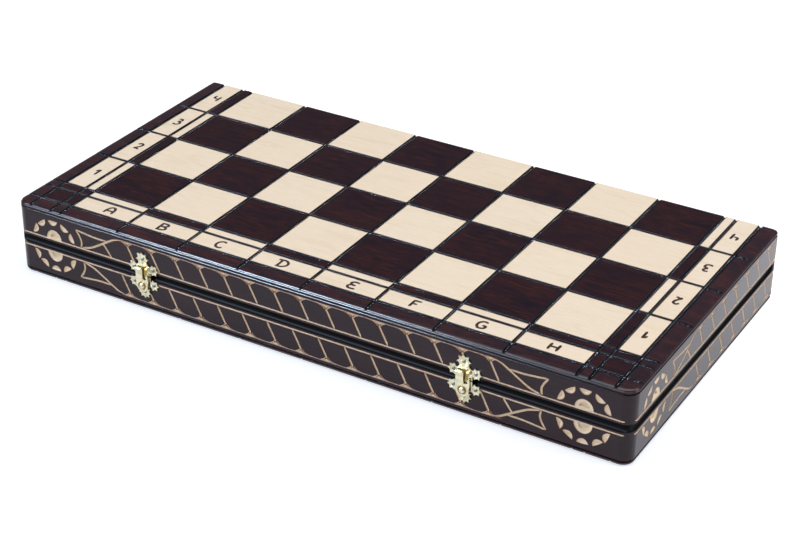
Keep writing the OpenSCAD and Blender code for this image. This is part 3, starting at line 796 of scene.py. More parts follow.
def tile_is_light(i, j):
    """i counts from the left and j from the front; 0 is the label and 1 the chequered strip."""
    inside = 2 <= i <= 9
    if inside and j >= 2:
        return (i + j) % 2 == 0
    if inside:
        return j == 0 or i % 2 == 1
    if j < 2:
        return False
    return i in (0, 11) or (i == 1) == (j % 2 == 1)


def tile_tone(i, j, half):
    """A repeatable pseudo-random number from 0 to 1 for each tile."""
    seed = i * 12.9898 + j * 78.233 + (half == "upper") * 4.7
    return modf(abs(sin(seed * 1.7)) * 43758.5453)[0]


# How far a tile stands in at each height: its upright flank, its rounded bevel and its marked edge
TILE_STEPS = ((0, TILE_T), (0, 0.55), (0.16, 0.22), (TILE_BEVEL, 0.0), (EDGE_LINE, 0.0))


def build_tiles(half, matrix, materials, light):
    """Bevelled tiles whose flanks are blackened like the grooves; each has its own tone."""
    bm = bmesh.new()
    tone = bm.faces.layers.float.new("tone")
    last = len(Y_LINES) - 2
    for i, j in itertools.product(range(len(X_LINES) - 1), range(last + 1)):
        if tile_is_light(i, j) != light:
            continue
        gap = GROOVE_W / 2
        low = Vector((FIELD_X + X_LINES[i] + gap, FIELD_Y + Y_LINES[j] + gap))
        high = Vector((FIELD_X + X_LINES[i + 1] - gap, FIELD_Y + Y_LINES[j + 1] - (gap if j < last else 0)))
        rings = []
        for inset, level in TILE_STEPS:
            back = high.y - (inset if j < last else inset * 0.3)
            rings.append([(low.x + inset, low.y + inset, level), (high.x - inset, low.y + inset, level),
                          (high.x - inset, back, level), (low.x + inset, back, level)])
        known = set(bm.faces)
        loft(bm, rings, 1)
        made = set(bm.faces) - known
        for f in made:
            f[tone] = tile_tone(i, j, half)
        flat = [f for f in made if f.calc_center_median().z < 0.01]
        for f in flat:
            f.material_index = 3
        max(flat, key=lambda f: f.calc_area()).material_index = 0
    shade = "light" if light else "dark"
    face = materials["pale" if light else "dark"]
    finishes = [face, materials["groove"], materials["burnt"], materials["edge"] if light else face]
    tiles = finish_mesh(f"{half}_{shade}_tiles", bm, finishes, matrix)
    if light:
        engrave_labels(tiles, half, matrix)
    belong(tiles, half + "_half", "pale_veneer" if light else "dark_veneer", f"{half}_{shade}_fields")


# ---------- letters and digits, drawn in a box from 0 to 1 across and 0 to 1 up ---------------

GLYPHS = {
    "A": [[(0.08, 0.0), (0.12, 0.6), (0.35, 0.98), (0.68, 0.95), (0.88, 0.6), (0.92, 0.0)],
          [(0.12, 0.42), (0.9, 0.42)]],
    "B": [[(0.15, 0.0), (0.15, 1.0)],
          [(0.0, 0.98), (0.6, 0.98), (0.82, 0.78), (0.6, 0.55), (0.2, 0.52)],
          [(0.55, 0.54), (0.92, 0.3), (0.65, 0.03), (0.0, 0.0)]],
    "C": [[(0.85, 0.86), (0.55, 1.0), (0.2, 0.82), (0.08, 0.45), (0.25, 0.1), (0.6, 0.0), (0.9, 0.15)]],
    "D": [[(0.2, 0.0), (0.2, 1.0)],
          [(-0.22, 0.93), (0.5, 1.0), (0.92, 0.72), (0.95, 0.35), (0.6, 0.04), (0.0, 0.0)]],
    "E": [[(0.85, 0.95), (0.4, 1.0), (0.12, 0.8), (0.3, 0.55), (0.7, 0.53)],
          [(0.3, 0.55), (0.05, 0.28), (0.3, 0.02), (0.9, 0.06)]],
    "F": [[(0.2, 0.0), (0.2, 0.98)], [(0.05, 0.98), (0.9, 1.0)], [(0.2, 0.52), (0.72, 0.55)]],
    "G": [[(0.85, 0.88), (0.5, 1.0), (0.15, 0.78), (0.08, 0.35), (0.35, 0.02), (0.8, 0.1), (0.85, 0.42),
           (0.5, 0.42)]],
    "H": [[(0.12, 0.0), (0.12, 1.0)], [(0.88, 0.0), (0.88, 1.0)], [(0.12, 0.5), (0.88, 0.52)]],
    "1": [[(0.2, 0.56), (0.4, 0.78), (0.5, 0.93)], [(0.62, 1.0), (0.62, 0.0)]],
    "2": [[(0.12, 0.78), (0.4, 1.0), (0.75, 0.85), (0.65, 0.5), (0.15, 0.05)],
          [(0.15, 0.04), (0.5, 0.12), (0.88, 0.02)]],
    "3": [[(0.15, 0.95), (0.6, 1.0), (0.72, 0.75), (0.35, 0.55)],
          [(0.35, 0.55), (0.85, 0.4), (0.75, 0.08), (0.35, 0.0), (0.1, 0.12)]],
    "4": [[(0.2, 1.0), (0.14, 0.62), (0.3, 0.5), (0.7, 0.5)], [(0.86, 0.97), (0.82, 0.0)]],
    "5": [[(0.8, 0.98), (0.25, 0.98), (0.2, 0.58)],
          [(0.2, 0.58), (0.6, 0.66), (0.88, 0.38), (0.65, 0.05), (0.15, 0.05)]],
    "6": [[(0.7, 1.0), (0.3, 0.75), (0.14, 0.3), (0.45, 0.0), (0.82, 0.2), (0.6, 0.5), (0.2, 0.35)]],
    "7": [[(0.1, 0.96), (0.85, 0.98), (0.55, 0.55), (0.4, 0.0)], [(0.25, 0.5), (0.75, 0.52)]],
    "8": [[(0.5, 0.55), (0.2, 0.75), (0.5, 1.0), (0.8, 0.75), (0.5, 0.55)],
          [(0.5, 0.55), (0.12, 0.25), (0.5, 0.0), (0.88, 0.25), (0.5, 0.55)]],
}
STRAIGHT_GLYPHS = "FH147"
LETTER_SIZE = (7.7, 8.6)
DIGIT_SIZE = (6.2, 9.4)
LETTER_SHIFT = (2.8, -1.2, -3.0, -2.5, 3.0, -0.5, -1.2, -0.5)   # the hand that cut them wandered a little


def write(passes, text, centre, size, turned):
    """Adds a glyph's strokes to the passes, one to each; mirrored, as the face is seen from below."""
    way = -1 if turned else 1
    for bm, stroke in zip(passes, GLYPHS[text]):
        points = stroke if text in STRAIGHT_GLYPHS else smooth_path(stroke, 5)
        path = [(centre[0] - way * (x - 0.5) * size[0], centre[1] + way * (y - 0.5) * size[1])
                for x, y in points]
        gouge(bm, lambda a, b, d: Vector((a, b, d)), path, 2.0, (0.04, 0.06), 0.25, 2)


def engrave_labels(tiles, half, matrix):
    """Files along the front and ranks down both sides, each set upright for its own player."""
    passes = [bmesh.new() for _ in range(3)]
    upper = half == "upper"
    label_y = FIELD_Y - (STRIP_LINE + LABEL_LINE) / 2
    label_x = 4 * SQUARE + (STRIP_LINE + LABEL_LINE) / 2
    for k, letter in enumerate("ABCDEFGH"):
        file = 7 - k if upper else k
        x = FIELD_X + (file + 0.5) * SQUARE - LETTER_SHIFT[k]
        write(passes, letter, (x, label_y), LETTER_SIZE, False)
    for rank in range(4):
        text = str(rank + 1 if upper else 8 - rank)
        y = FIELD_Y + (rank + 0.5) * SQUARE
        write(passes, text, (-label_x, y), DIGIT_SIZE, upper)
        write(passes, text, (label_x, y), DIGIT_SIZE, not upper)
    for bm in passes:
        boolean(tiles, bm, matrix)


# ---------- shared shapes ----------

def prism(bm, outline, low, high):
    """Straight extrusion of a flat outline between two heights."""
    loft(bm, [[(x, y, z) for x, y in outline] for z in (low, high)])


def strip(bm, profile, low, high):
    """Straight extrusion of a (y, z) profile along X."""
    loft(bm, [[(x, y, z) for y, z in profile] for x in (low, high)])


def lathe(bm, profile, count=48, matrix=None, index=0):
    """Turns a profile of (radius, height) points about Z; a radius of zero closes it with a point."""
    rows = []
    for radius, height in profile:
        turn = [2 * pi * k / count for k in range(count if radius > 0 else 1)]
        rows.append([bm.verts.new((radius * cos(t), radius * sin(t), height)) for t in turn])
    if matrix:
        for v in itertools.chain(*rows):
            v.co = matrix @ v.co
    bridge(bm, rows, index)


def bulged(points):
    """Profile through (radius, height, bulge) points; bulge swells or hollows the run to that point."""
    path = [points[0][:2]]
    for (r0, z0, _), (r1, z1, swell) in zip(points, points[1:]):
        length = hypot(r1 - r0, z1 - z0) or 1
        out = ((z1 - z0) / length, -(r1 - r0) / length)
        steps = 6 if swell else 1
        for k in range(1, steps + 1):
            t = k / steps
            rise = swell * 4 * t * (1 - t)
            path.append((r0 + (r1 - r0) * t + out[0] * rise, z0 + (z1 - z0) * t + out[1] * rise))
    return path


# ---------- latches, drawn flat on the front face from the seam ----------

LATCH_X = {-1: -128, 1: 124}
PLATE_T = 0.9
LOBES = {                 # place of each lobe from the seam, its radius and its number of tips
    "upper": [(-7.9, 5.4, 4.3, 7), (8.2, 5.8, 4.3, 7), (-0.6, 12.6, 5.3, 8)],
    "lower": [(-7.9, -6.4, 4.3, 7), (8.2, -6, 4.3, 7), (0.2, -12.8, 5.3, 9)],
}
LOBE_WAIST = 0.7
RIVET = (-0.5, -7.5)
ARM_BACK = 1.75
ARM_T = 1.0
DISC_R = 4.8
CORE = [(-5.4, 0.5), (5.8, 0.5), (5.8, 7.6), (3.6, 9.0), (2.6, 11), (-2.2, 11), (-3.4, 9.0), (-5.4, 7.6)]
TONGUE = [(8.6, 0.85), (8.2, 1.25), (7.0, 1.35), (2.0, 1.4), (-1.0, 1.4), (-1.8, 1.3), (-1.8, 1.05),
          (-1.4, 1.0), (-0.9, 1.0), (2.0, 0.9), (8.6, 0.6)]
HOOK = [(7.4, 0.8), (7.2, 2.0), (6.4, 2.9), (5.2, 3.2), (4.2, 2.9), (3.8, 2.2), (4.4, 2.1), (5.2, 2.5),
        (6.0, 2.2), (6.4, 1.4), (6.4, 0.8)]
ARM_LIP = [(5.4, 0.1), (6.3, 0.15), (6.65, 0.6), (6.8, 1.4), (6.8, 2.6), (6.5, 2.85), (6.15, 2.6), (6.0, 1.5),
           (5.8, 1.0), (5.4, 0.95)]
ARM_RING = [(2.0, 2), (2.0, ARM_T - 0.3), (2.5, ARM_T - 0.55), (3.1, ARM_T - 0.4), (3.4, 2), (2.0, 2)]
RIVET_DOME = [(0, 0), (1.5, 0), (1.5, 2.7), (2.15, 2.7), (2.2, 2.95), (2.05, 3.4), (1.7, 3.85), (1.2, 4.15),
              (0.6, 4.32), (0, 4.36)]
NAIL_HEAD = [(0, 0.2), (1.15, 0.2), (1.25, 0.8), (1.15, 1.05), (0.85, 1.25), (0.45, 1.35), (0, 1.38)]


def on_front(x):
    """From the flat drawing of a latch to its place on the front face."""
    return Matrix.Translation((x, FRONT, HALF_H)) @ Matrix.Rotation(pi / 2, 4, "X")


def star(lobe, size, turn):
    """Outline of a stamped star lobe: sharp tips joined by hollow arcs."""
    x, y, tip, points = lobe
    outline = []
    for k in range(points * 6):
        r = size * tip * (1 - (1 - LOBE_WAIST) * sin(pi * (k % 6 / 6)) ** 0.65)
        t = turn + 2 * pi * k / (points * 6)
        outline.append((x + r * cos(t), y + r * sin(t)))
    return outline


def stamped_plate(name, half, matrix, finish):
    """Three star lobes on a core, each lobe pressed in within a raised rim."""
    way = 1 if half == "upper" else -1
    bm = bmesh.new()
    prism(bm, [(x, way * y) for x, y in CORE], 0, PLATE_T)
    plate = finish_mesh(name, bm, [finish])
    pockets = bmesh.new()
    for lobe in LOBES[half]:
        turn = atan2(lobe[1] - way * 6, lobe[0])
        part = bmesh.new()
        prism(part, star(lobe, 1.0, turn), -0.001, PLATE_T + 0.02)
        boolean(plate, part, operation="UNION")
        prism(pockets, star(lobe, 0.7, turn), PLATE_T - 0.22, PLATE_T + 1)
    boolean(plate, pockets)
    bevel(plate, 0.13)
    place_mesh(plate, matrix)
    return plate


def arm_outline():
    """The swinging arm in plan: blade on the left, slot, thin prong on the right, disc below."""
    blade = [(-5.4, 6.4), (-5.2, 6.6), (-0.1, 6.6), (0.1, 6.4), (0.1, -1.5)]
    slot = arc((0.8, -1.5), 0.7, 180, 270, 4) + arc((2.5, -1.5), 0.7, 270, 360, 4)
    prong = [(3.2, 1.1)] + arc((3.9, 1.1), 0.7, 180, 0, 6)
    disc = [(4.6, -4.6), (4.1, -5.6), *arc(RIVET, DISC_R, 14, -188, 26), (-5.4, -5.6)]
    return blade + slot + prong + disc


def build_latch(side, finish, shaded_brass):
    """Catch and base plates, the catch's tongue and hook, the swinging arm and its rivet."""
    name = SIDE_NAMES[side] + "_latch"
    matrix = on_front(LATCH_X[side])
    for part, half in (("catch", "upper"), ("base", "lower")):
        plate = stamped_plate(f"{name}_stamped_{part}", half, matrix, finish)
        belong(plate, half + "_half", "latch_brass", f"{name}_{part}_plate")
    # the tongue and hook take the darkened brass, a painted shade for where they lie behind the arm
    for part, profile, low, high in (("tongue", TONGUE, 0.5, 2.5), ("hook", HOOK, 2.4, 4.4)):
        bm = bmesh.new()
        strip(bm, profile, low, high)
        piece = finish_mesh(f"{name}_{part}", bm, [shaded_brass])
        bevel(piece, 0.1)
        place_mesh(piece, matrix)
        belong(piece, "upper_half", "latch_brass")

    bm = bmesh.new()
    prism(bm, arm_outline(), ARM_BACK, ARM_BACK + ARM_T)
    arm = finish_mesh(name + "_arm_plate", bm, [finish, shaded_brass])
    lip = bmesh.new()
    strip(lip, [(y, ARM_BACK + z) for y, z in ARM_LIP], -5.3, 0.0)
    boolean(arm, lip, operation="UNION")
    # the ring's cut faces take the darkened brass, a painted shade in the dimple round the rivet
    ring = bmesh.new()
    lathe(ring, ARM_RING, 40, Matrix.Translation((*RIVET, ARM_BACK)), 1)
    bmesh.ops.remove_doubles(ring, verts=ring.verts[:], dist=0.001)
    boolean(arm, ring)
    bevel(arm, 0.14)
    place_mesh(arm, matrix)
    belong(arm, name + "_arm", "latch_brass", name + "_arm")

    bm = bmesh.new()
    lathe(bm, RIVET_DOME, 40, Matrix.Translation((*RIVET, 0)))
    rivet = finish_mesh(name + "_domed_rivet", bm, [finish], matrix)
    belong(rivet, "lower_half", "latch_brass", name + "_rivet")


def build_nails(half, finish):
    """Small domed nail heads in the middle of the lobes."""
    bm = bmesh.new()
    for x in LATCH_X.values():
        for lobe in LOBES[half]:
            lathe(bm, NAIL_HEAD, 24, on_front(x) @ Matrix.Translation((*lobe[:2], 0)))
    nails = finish_mesh(half + "_latch_nails", bm, [finish])
    belong(nails, half + "_half", "latch_brass", "latch_nails_" + half)


# ---------- back walls and hinges ----------

HINGE_X = 150
LEAF = (34, 8.4, 1.2)
KNUCKLE_R = 2.2
HINGE_Y = BACK + 0.15
MIDDLE_KNUCKLE = LEAF[0] * 0.4
SCREW_SPREAD = LEAF[0] * 0.34
SCREW_Y = BACK - LEAF[1] / 2 - 0.4
ALONG_X = Matrix.Rotation(pi / 2, 4, "Y")
SCREW = [(0, -8), (0.9, -7), (1.0, -1.15), (1.85, -0.2), (1.85, -0.08), (0, -0.05)]
SINK = [(0, -3), (1.1, -3), (1.1, -1.0), (2.05, 0.0), (2.2, 0.5), (0, 0.5)]


def rod(bm, centre, radius, length, easing=0.2):
    """Cylinder along X with eased ends."""
    half = length / 2
    profile = [(0, -half), (radius - easing, -half), (radius, -half + easing), (radius, half - easing),
               (radius - easing, half), (0, half)]
    lathe(bm, profile, 32, Matrix.Translation(centre) @ ALONG_X)


def build_back_wall(half, matrix, materials):
    """The plain wall at the back, let in for the hinges' leaves and knuckles."""
    bm = bmesh.new()
    box(bm, (-INNER_X, BACK - WALL_T, PANEL_T), (INNER_X, BACK, HALF_H))
    wall = finish_mesh(half + "_plain_back", bm, [materials["wall"], materials["carved"]], matrix)
    leaves, knuckles = bmesh.new(), bmesh.new()
    for x in (-HINGE_X, HINGE_X):
        low = (x - LEAF[0] / 2 - 0.1, BACK - LEAF[1] - 0.1, HALF_H - LEAF[2] - 0.05)
        box(leaves, low, (x + LEAF[0] / 2 + 0.1, BACK + 1, HALF_H + 1))
        rod(knuckles, (x, HINGE_Y, HALF_H), KNUCKLE_R + 0.6, LEAF[0] + 4, 0.05)
    boolean(wall, leaves, matrix)
    boolean(wall, knuckles, matrix)
    bevel(wall, 0.35)
    belong(wall, half + "_half", "carved_wall", half + "_back_wall")


def build_hinge(side, finish):
    """Two leaves with eased edges, knuckles of the two halves, and a pin with domed ends."""
    name = SIDE_NAMES[side] + "_hinge"
    x = side * HINGE_X
    half_l = LEAF[0] / 2
    outer = (LEAF[0] - MIDDLE_KNUCKLE) / 2 - 0.3
    places = {"lower": [(-1, outer), (1, outer)], "upper": [(0, MIDDLE_KNUCKLE)]}
    for half, other, way in (("lower", "upper", -1), ("upper", "lower", 1)):
        low, high = sorted((HALF_H, HALF_H + way * LEAF[2]))
        bm = bmesh.new()
        box(bm, (x - half_l, BACK - LEAF[1], low), (x + half_l, BACK - 0.2, high))
        leaf = finish_mesh(f"{name}_{half}_plate", bm, [finish])
        rooms, sinks = bmesh.new(), bmesh.new()
        for sign, length in places[other]:
            centre = x + sign * (half_l - length / 2 + 0.5)
            rod(rooms, (centre, HINGE_Y, HALF_H), KNUCKLE_R + 0.3, length + 0.6 + abs(sign), 0.01)
        boolean(leaf, rooms)
        for sign in (-1, 1):
            at = Matrix.Translation((x + sign * SCREW_SPREAD, SCREW_Y, HALF_H))
            lathe(sinks, SINK, 28, at @ Matrix.Scale(-way, 4, (0, 0, 1)))
        boolean(leaf, sinks)
        bevel(leaf, 0.12)
        belong(leaf, half + "_half", "hinge_brass", f"{name}_{half}_leaf")
        bm = bmesh.new()
        for sign, length in places[half]:
            rod(bm, (x + sign * (half_l - length / 2), HINGE_Y, HALF_H), KNUCKLE_R, length)
        knuckles = finish_mesh(f"{name}_{half}_knuckles", bm, [finish])
        belong(knuckles, half + "_half", "hinge_brass")
    end = [(0, 1.3), (0.8, 1.2), (1.5, 0.8), (1.7, 0.05), (1.0, 0)]
    profile = [(r, -half_l - d) for r, d in end] + [(r, half_l + d) for r, d in reversed(end)]
    bm = bmesh.new()
    lathe(bm, profile, 28, Matrix.Translation((x, HINGE_Y, HALF_H)) @ ALONG_X)
    pin = finish_mesh(name + "_domed_pin", bm, [finish])
    belong(pin, "lower_half", "hinge_brass", name + "_pin")


def build_hinge_screws(half, matrix, finish):
    """Countersunk screws with a cut slot, in the four holes of each half's leaves."""
    bm, slots = bmesh.new(), bmesh.new()
    for side, sign in itertools.product((-1, 1), repeat=2):
        x = side * HINGE_X + sign * SCREW_SPREAD
        lathe(bm, SCREW, 28, Matrix.Translation((x, SCREW_Y, HALF_H)))
        box(slots, (x - 2.2, SCREW_Y - 0.22, HALF_H - 0.6), (x + 2.2, SCREW_Y + 0.22, HALF_H + 0.5))
    screws = finish_mesh(half + "_slotted_screws", bm, [finish], matrix)
    boolean(screws, slots, matrix)
    belong(screws, half + "_half", "hinge_brass", "hinge_screws_" + half)


# ---------- chess pieces and their trays ----------

KING, QUEEN, BISHOP, KNIGHT, ROOK, PAWN = "king", "queen", "bishop", "knight", "rook", "pawn"
SIZES = {KING: (90, 18), QUEEN: (82, 17), BISHOP: (72, 15.5), KNIGHT: (60, 15.5), ROOK: (52, 15.5),
         PAWN: (48, 13)}
COLUMNS = [
    [KING, BISHOP, KNIGHT, KNIGHT, BISHOP, QUEEN],
    [ROOK, PAWN, PAWN, PAWN, PAWN, ROOK],
    [PAWN, PAWN, PAWN, PAWN],
]
TRAY_GAP = 0.3
TRAY_FLOOR = 1.5
BLOCK_TOP = 20
NEST_GAP = 0.6
SEAT_DROP = 0.55
QUARTER_TURN = Matrix.Rotation(pi / 2, 4, "Z")
TRAY_X = INNER_X - TRAY_GAP
TRAY_Y = BACK - WALL_T - TRAY_GAP
COLUMN_L = [max(SIZES[kind][0] for kind in column) for column in COLUMNS]
COLUMN_GAP = (TRAY_X - sum(COLUMN_L)) / (len(COLUMNS) + 1)


def nests():
    """Every lying piece: its kind, and the middle of its foot."""
    for c, column in enumerate(COLUMNS):
        widths = [2 * SIZES[kind][1] for kind in column]
        row_gap = (2 * TRAY_Y - sum(widths)) / (len(column) + 1)
        x = -TRAY_X + COLUMN_GAP * (c + 1) + sum(COLUMN_L[:c])
        for k, kind in enumerate(column):
            y = -TRAY_Y + row_gap * (k + 1) + sum(widths[:k]) + widths[k] / 2
            yield kind, Vector((x, y, max(21, 6 + SIZES[kind][1])))


def build_tray(half, matrix, felt):
    """The flocked floor and the block in it, hollowed for every lying piece."""
    bm = bmesh.new()
    box(bm, (-TRAY_X, -TRAY_Y, PANEL_T), (TRAY_X, TRAY_Y, PANEL_T + TRAY_FLOOR))
    tray = finish_mesh(half + "_flocked_insert", bm, [felt])
    block, hollows = bmesh.new(), bmesh.new()
    box(block, (-TRAY_X, -TRAY_Y, PANEL_T), (0, TRAY_Y, BLOCK_TOP))
    boolean(tray, block, operation="UNION")
    for kind, at in nests():
        height, r = SIZES[kind]
        rim = r + NEST_GAP
        body = (r if kind == KNIGHT else 0.74 * r) + NEST_GAP
        foot = 0.8 * r + NEST_GAP
        end = height + 2 * NEST_GAP
        profile = [(0, 0), (rim, 0), (rim, foot), (body, foot + 0.01), (body, end), (0, end)]
        lathe(hollows, profile, 48, Matrix.Translation((at.x - NEST_GAP, at.y, at.z)) @ ALONG_X)
    boolean(tray, hollows)
    bevel(tray, 0.5)
    place_mesh(tray, matrix)
    belong(tray, half + "_half", "flocked_tray", half + "_tray")


def foot_profile(r, stem_r, stem_z):
    """Turned foot shared by all the pieces: rounded rim, hollow, bead and a waisted stem."""
    return [(0, 0.35, 0), (0.8 * r, 0.35, 0), (0.86 * r, 0, 0), (0.96 * r, 0, 0), (r, 0.06 * r, 0.01 * r),
            (r, 0.2 * r, 0.0), (0.9 * r, 0.33 * r, 0.03 * r), (0.82 * r, 0.4 * r, -0.03 * r),
            (0.82 * r, 0.54 * r, 0.045 * r), (0.74 * r, 0.56 * r, 0), (0.58 * r, 0.8 * r, -0.06 * r),
            (stem_r, stem_z, -0.07 * r)]


PROFILES = {
    KING: (0.36, 0.52, [
        (0.48, 0.525, 0.01), (0.70, 0.548, -0.02), (0.70, 0.566, 0.03), (0.50, 0.576, 0), (0.50, 0.594, 0.03),
        (0.40, 0.603, 0), (0.62, 0.80, -0.05), (0.66, 0.805, 0), (0.66, 0.822, 0.03), (0.56, 0.83, 0),
        (0.24, 0.872, 0.05), (0.16, 0.878, 0), (0, 0.88, 0)]),
    QUEEN: (0.36, 0.54, [
        (0.48, 0.545, 0.01), (0.70, 0.57, -0.02), (0.70, 0.588, 0.03), (0.50, 0.598, 0), (0.50, 0.615, 0.03),
        (0.40, 0.622, 0), (0.66, 0.86, -0.08), (0.60, 0.868, 0), (0.50, 0.86, 0), (0.22, 0.925, 0.07),
        (0.12, 0.935, 0), (0.19, 0.96, 0.02), (0.12, 0.992, 0.03), (0, 1.0, 0.01)]),
    BISHOP: (0.36, 0.50, [
        (0.46, 0.505, 0.01), (0.66, 0.53, -0.02), (0.66, 0.55, 0.03), (0.48, 0.56, 0), (0.48, 0.58, 0.03),
        (0.36, 0.592, 0), (0.55, 0.72, 0.04), (0.40, 0.86, 0.05), (0.12, 0.935, 0.02), (0.10, 0.94, 0),
        (0.17, 0.965, 0.02), (0.10, 0.993, 0.03), (0, 1.0, 0.01)]),
    ROOK: (0.50, 0.60, [
        (0.56, 0.61, 0), (0.56, 0.635, 0.03), (0.50, 0.65, 0), (0.70, 0.73, -0.04), (0.72, 0.75, 0),
        (0.72, 0.985, 0), (0.69, 1.0, 0), (0.48, 1.0, 0), (0.46, 0.985, 0), (0.46, 0.87, 0), (0, 0.86, 0)]),
    PAWN: (0.34, 0.56, [
        (0.44, 0.565, 0.01), (0.64, 0.60, -0.02), (0.64, 0.625, 0.03), (0.40, 0.64, 0), (0.28, 0.665, -0.02),
        *[(0.5 * cos(radians(t)), 1 - (0.5 - 0.5 * sin(radians(t))) * 13 / 48, 0)
          for t in range(-54, 90, 9)],
        (0, 1.0, 0)]),
    KNIGHT: (0.62, 0.34, [(0.66, 0.35, 0), (0.66, 0.375, 0.03), (0.56, 0.385, 0), (0, 0.39, 0)]),
}
HORSE = [(-0.60, 0.345), (-0.10, 0.34), (0.48, 0.345), (0.50, 0.40), (0.40, 0.50), (0.22, 0.585),
         (0.24, 0.63), (0.50, 0.615), (0.70, 0.575), (0.86, 0.60), (0.91, 0.66), (0.84, 0.72),
         (0.60, 0.80), (0.36, 0.88), (0.24, 0.93), (0.12, 1.0), (0.00, 0.93), (-0.14, 0.95),
         (-0.36, 0.90), (-0.60, 0.80), (-0.76, 0.66), (-0.80, 0.54), (-0.72, 0.42)]
CROSS = [(0.10, 0.86), (0.07, 0.915), (0.34, 0.90), (0.34, 0.955), (0.07, 0.942), (0.13, 1.0)]
CORONET_BALL = [(0, -2.6), (1.2, -2.3), (2.2, -1.2), (2.5, 0), (2.2, 1.2), (1.2, 2.3), (0, 2.6)]
EYE = [(0, -0.6), (0.7, -0.5), (1.2, 0), (0.7, 0.5), (0, 0.6)]
MANE_AND_MOUTH = [
    [(-0.62, 0.52), (-0.40, 0.50), (-0.20, 0.44)], [(-0.66, 0.62), (-0.42, 0.60), (-0.18, 0.54)],
    [(-0.60, 0.72), (-0.38, 0.70), (-0.14, 0.64)], [(-0.44, 0.81), (-0.26, 0.79), (-0.10, 0.73)],
    [(0.84, 0.645), (0.66, 0.665), (0.52, 0.66)], [(0.20, 0.78), (0.32, 0.70), (0.26, 0.64)],
]


def piece_mesh(kind, finish):
    """One standing chess piece in millimetres, with the cuts that mark its rank."""
    height, r = SIZES[kind]
    stem_r, stem_z, upper = PROFILES[kind]
    points = foot_profile(r, stem_r * r, stem_z * height)
    points += [(a * r, b * height, c * r) for a, b, c in upper]
    bm = bmesh.new()
    lathe(bm, bulged(points), 56)
    piece = finish_mesh("standing_" + kind, bm, [finish])
    if kind == ROOK:
        for turn in (0, 60, 120):
            gap = bmesh.new()
            box(gap, (-r, -0.12 * r, 0.9 * height), (r, 0.12 * r, height + 2))
            gap.transform(Matrix.Rotation(radians(turn), 4, "Z"))
            boolean(piece, gap)
        bevel(piece, 0.25, 2, 50)
    elif kind == QUEEN:
        scoops = bmesh.new()
        for k in range(9):
            t = 2 * pi * k / 9
            at = Matrix.Translation((0.66 * r * cos(t), 0.66 * r * sin(t), 0.885 * height))
            lathe(scoops, CORONET_BALL, 20, at)
        boolean(piece, scoops)
    elif kind == BISHOP:
        slit = bmesh.new()
        box(slit, (0, -r, -0.6), (r, r, 0.6))
        tilt = Matrix.Rotation(radians(-48), 4, "Y")
        slit.transform(Matrix.Translation((0.12 * r, 0, 0.77 * height)) @ tilt)
        boolean(piece, slit)
    elif kind == KING:
        outline = CROSS + [(-x, z) for x, z in reversed(CROSS)]
        join(piece, sawn("cross", [(x * r, z * height) for x, z in outline], 0.15 * r, finish, 0.3, 2))
    elif kind == KNIGHT:
        join(piece, horse_head(height, r, finish))
    return piece


def sawn(name, outline, half, finish, easing, segments, angle=40):
    """A board of (x, z) outline, half its thickness to either side, with eased edges."""
    bm = bmesh.new()
    loft(bm, [[(x, y, z) for x, z in outline] for y in (-half, half)])
    board = finish_mesh(name, bm, [finish])
    bevel(board, easing, segments, angle)
    return board


def join(target, extra):
    """Adds the mesh of one object to another's."""
    bm = bmesh.new()
    bm.from_mesh(target.data)
    bm.from_mesh(extra.data)
    bm.to_mesh(target.data)
    bm.free()
    bpy.data.objects.remove(extra)
    crease_mesh(target.data)


def horse_head(height, r, finish):
    """Sawn and rounded head with a cut mane, mouth, jaw and eye on both cheeks."""
    outline = [(x * r, z * height) for x, z in HORSE]
    half = 0.36 * r
    head = sawn("horse", smooth_path(outline + outline[:1], 4)[:-1], half, finish, 1.3, 3, 60)
    for side in (-1, 1):
        strokes, eye = bmesh.new(), bmesh.new()
        for stroke in MANE_AND_MOUTH:
            path = smooth_path([(x * r, z * height) for x, z in stroke], 5)
            gouge(strokes, lambda a, g, d: Vector((a, side * (half - d), g)), path, 1.5, (0.1, 0.3), 0.5, 0)
        boolean(head, strokes)
        at = Matrix.Translation((0.36 * r, side * half, 0.80 * height))
        lathe(eye, EYE, 20, at @ Matrix.Rotation(pi / 2, 4, "X"))
        boolean(head, eye)
    return head


def build_pieces(colour, body, matrix, finish):
    """Lays every piece into its nest; the eight pawns are one node."""
    standing = {kind: piece_mesh(kind, finish) for kind in SIZES}
    slot = colour + "_piece_wood"
    seen = {}
    pawns = bmesh.new()
    for kind, at in nests():
        lie = Matrix.Translation((at.x, at.y, at.z - SEAT_DROP)) @ ALONG_X @ QUARTER_TURN
        seen[kind] = seen.get(kind, 0) + 1
        node = f"{colour}_{kind}" + ("" if kind in (KING, QUEEN) else f"_{seen[kind]}")
        piece = put_in_scene("turned_" + node, standing[kind].data.copy())
        place_mesh(piece, matrix @ lie if matrix else lie)
        if kind == PAWN:
            pawns.from_mesh(piece.data)
            bpy.data.objects.remove(piece)
        else:
            belong(piece, body, slot, node)
    pawns.to_mesh(standing[PAWN].data)
    pawns.free()
    piece = put_in_scene(f"turned_{colour}_pawns", standing[PAWN].data.copy())
    crease_mesh(piece.data)
    belong(piece, body, slot, colour + "_pawns")
    for obj in standing.values():
        bpy.data.objects.remove(obj)


# ---------- stage ----------

def area_light(name, place, target, size, power, colour=(1, 1, 1), gleam=False):
    """A rectangular light that faces its target; a gleam shows in reflections only."""
    data = bpy.data.lights.new(name, "AREA")
    data.shape = "RECTANGLE"
    data.size, data.size_y = size
    data.energy = power
    data.color = colour
    light = put_in_scene(name, data)
    light.location = place
    light.visible_diffuse = not gleam
    light.rotation_euler = (Vector(target) - Vector(place)).to_track_quat("-Z", "Y").to_euler()


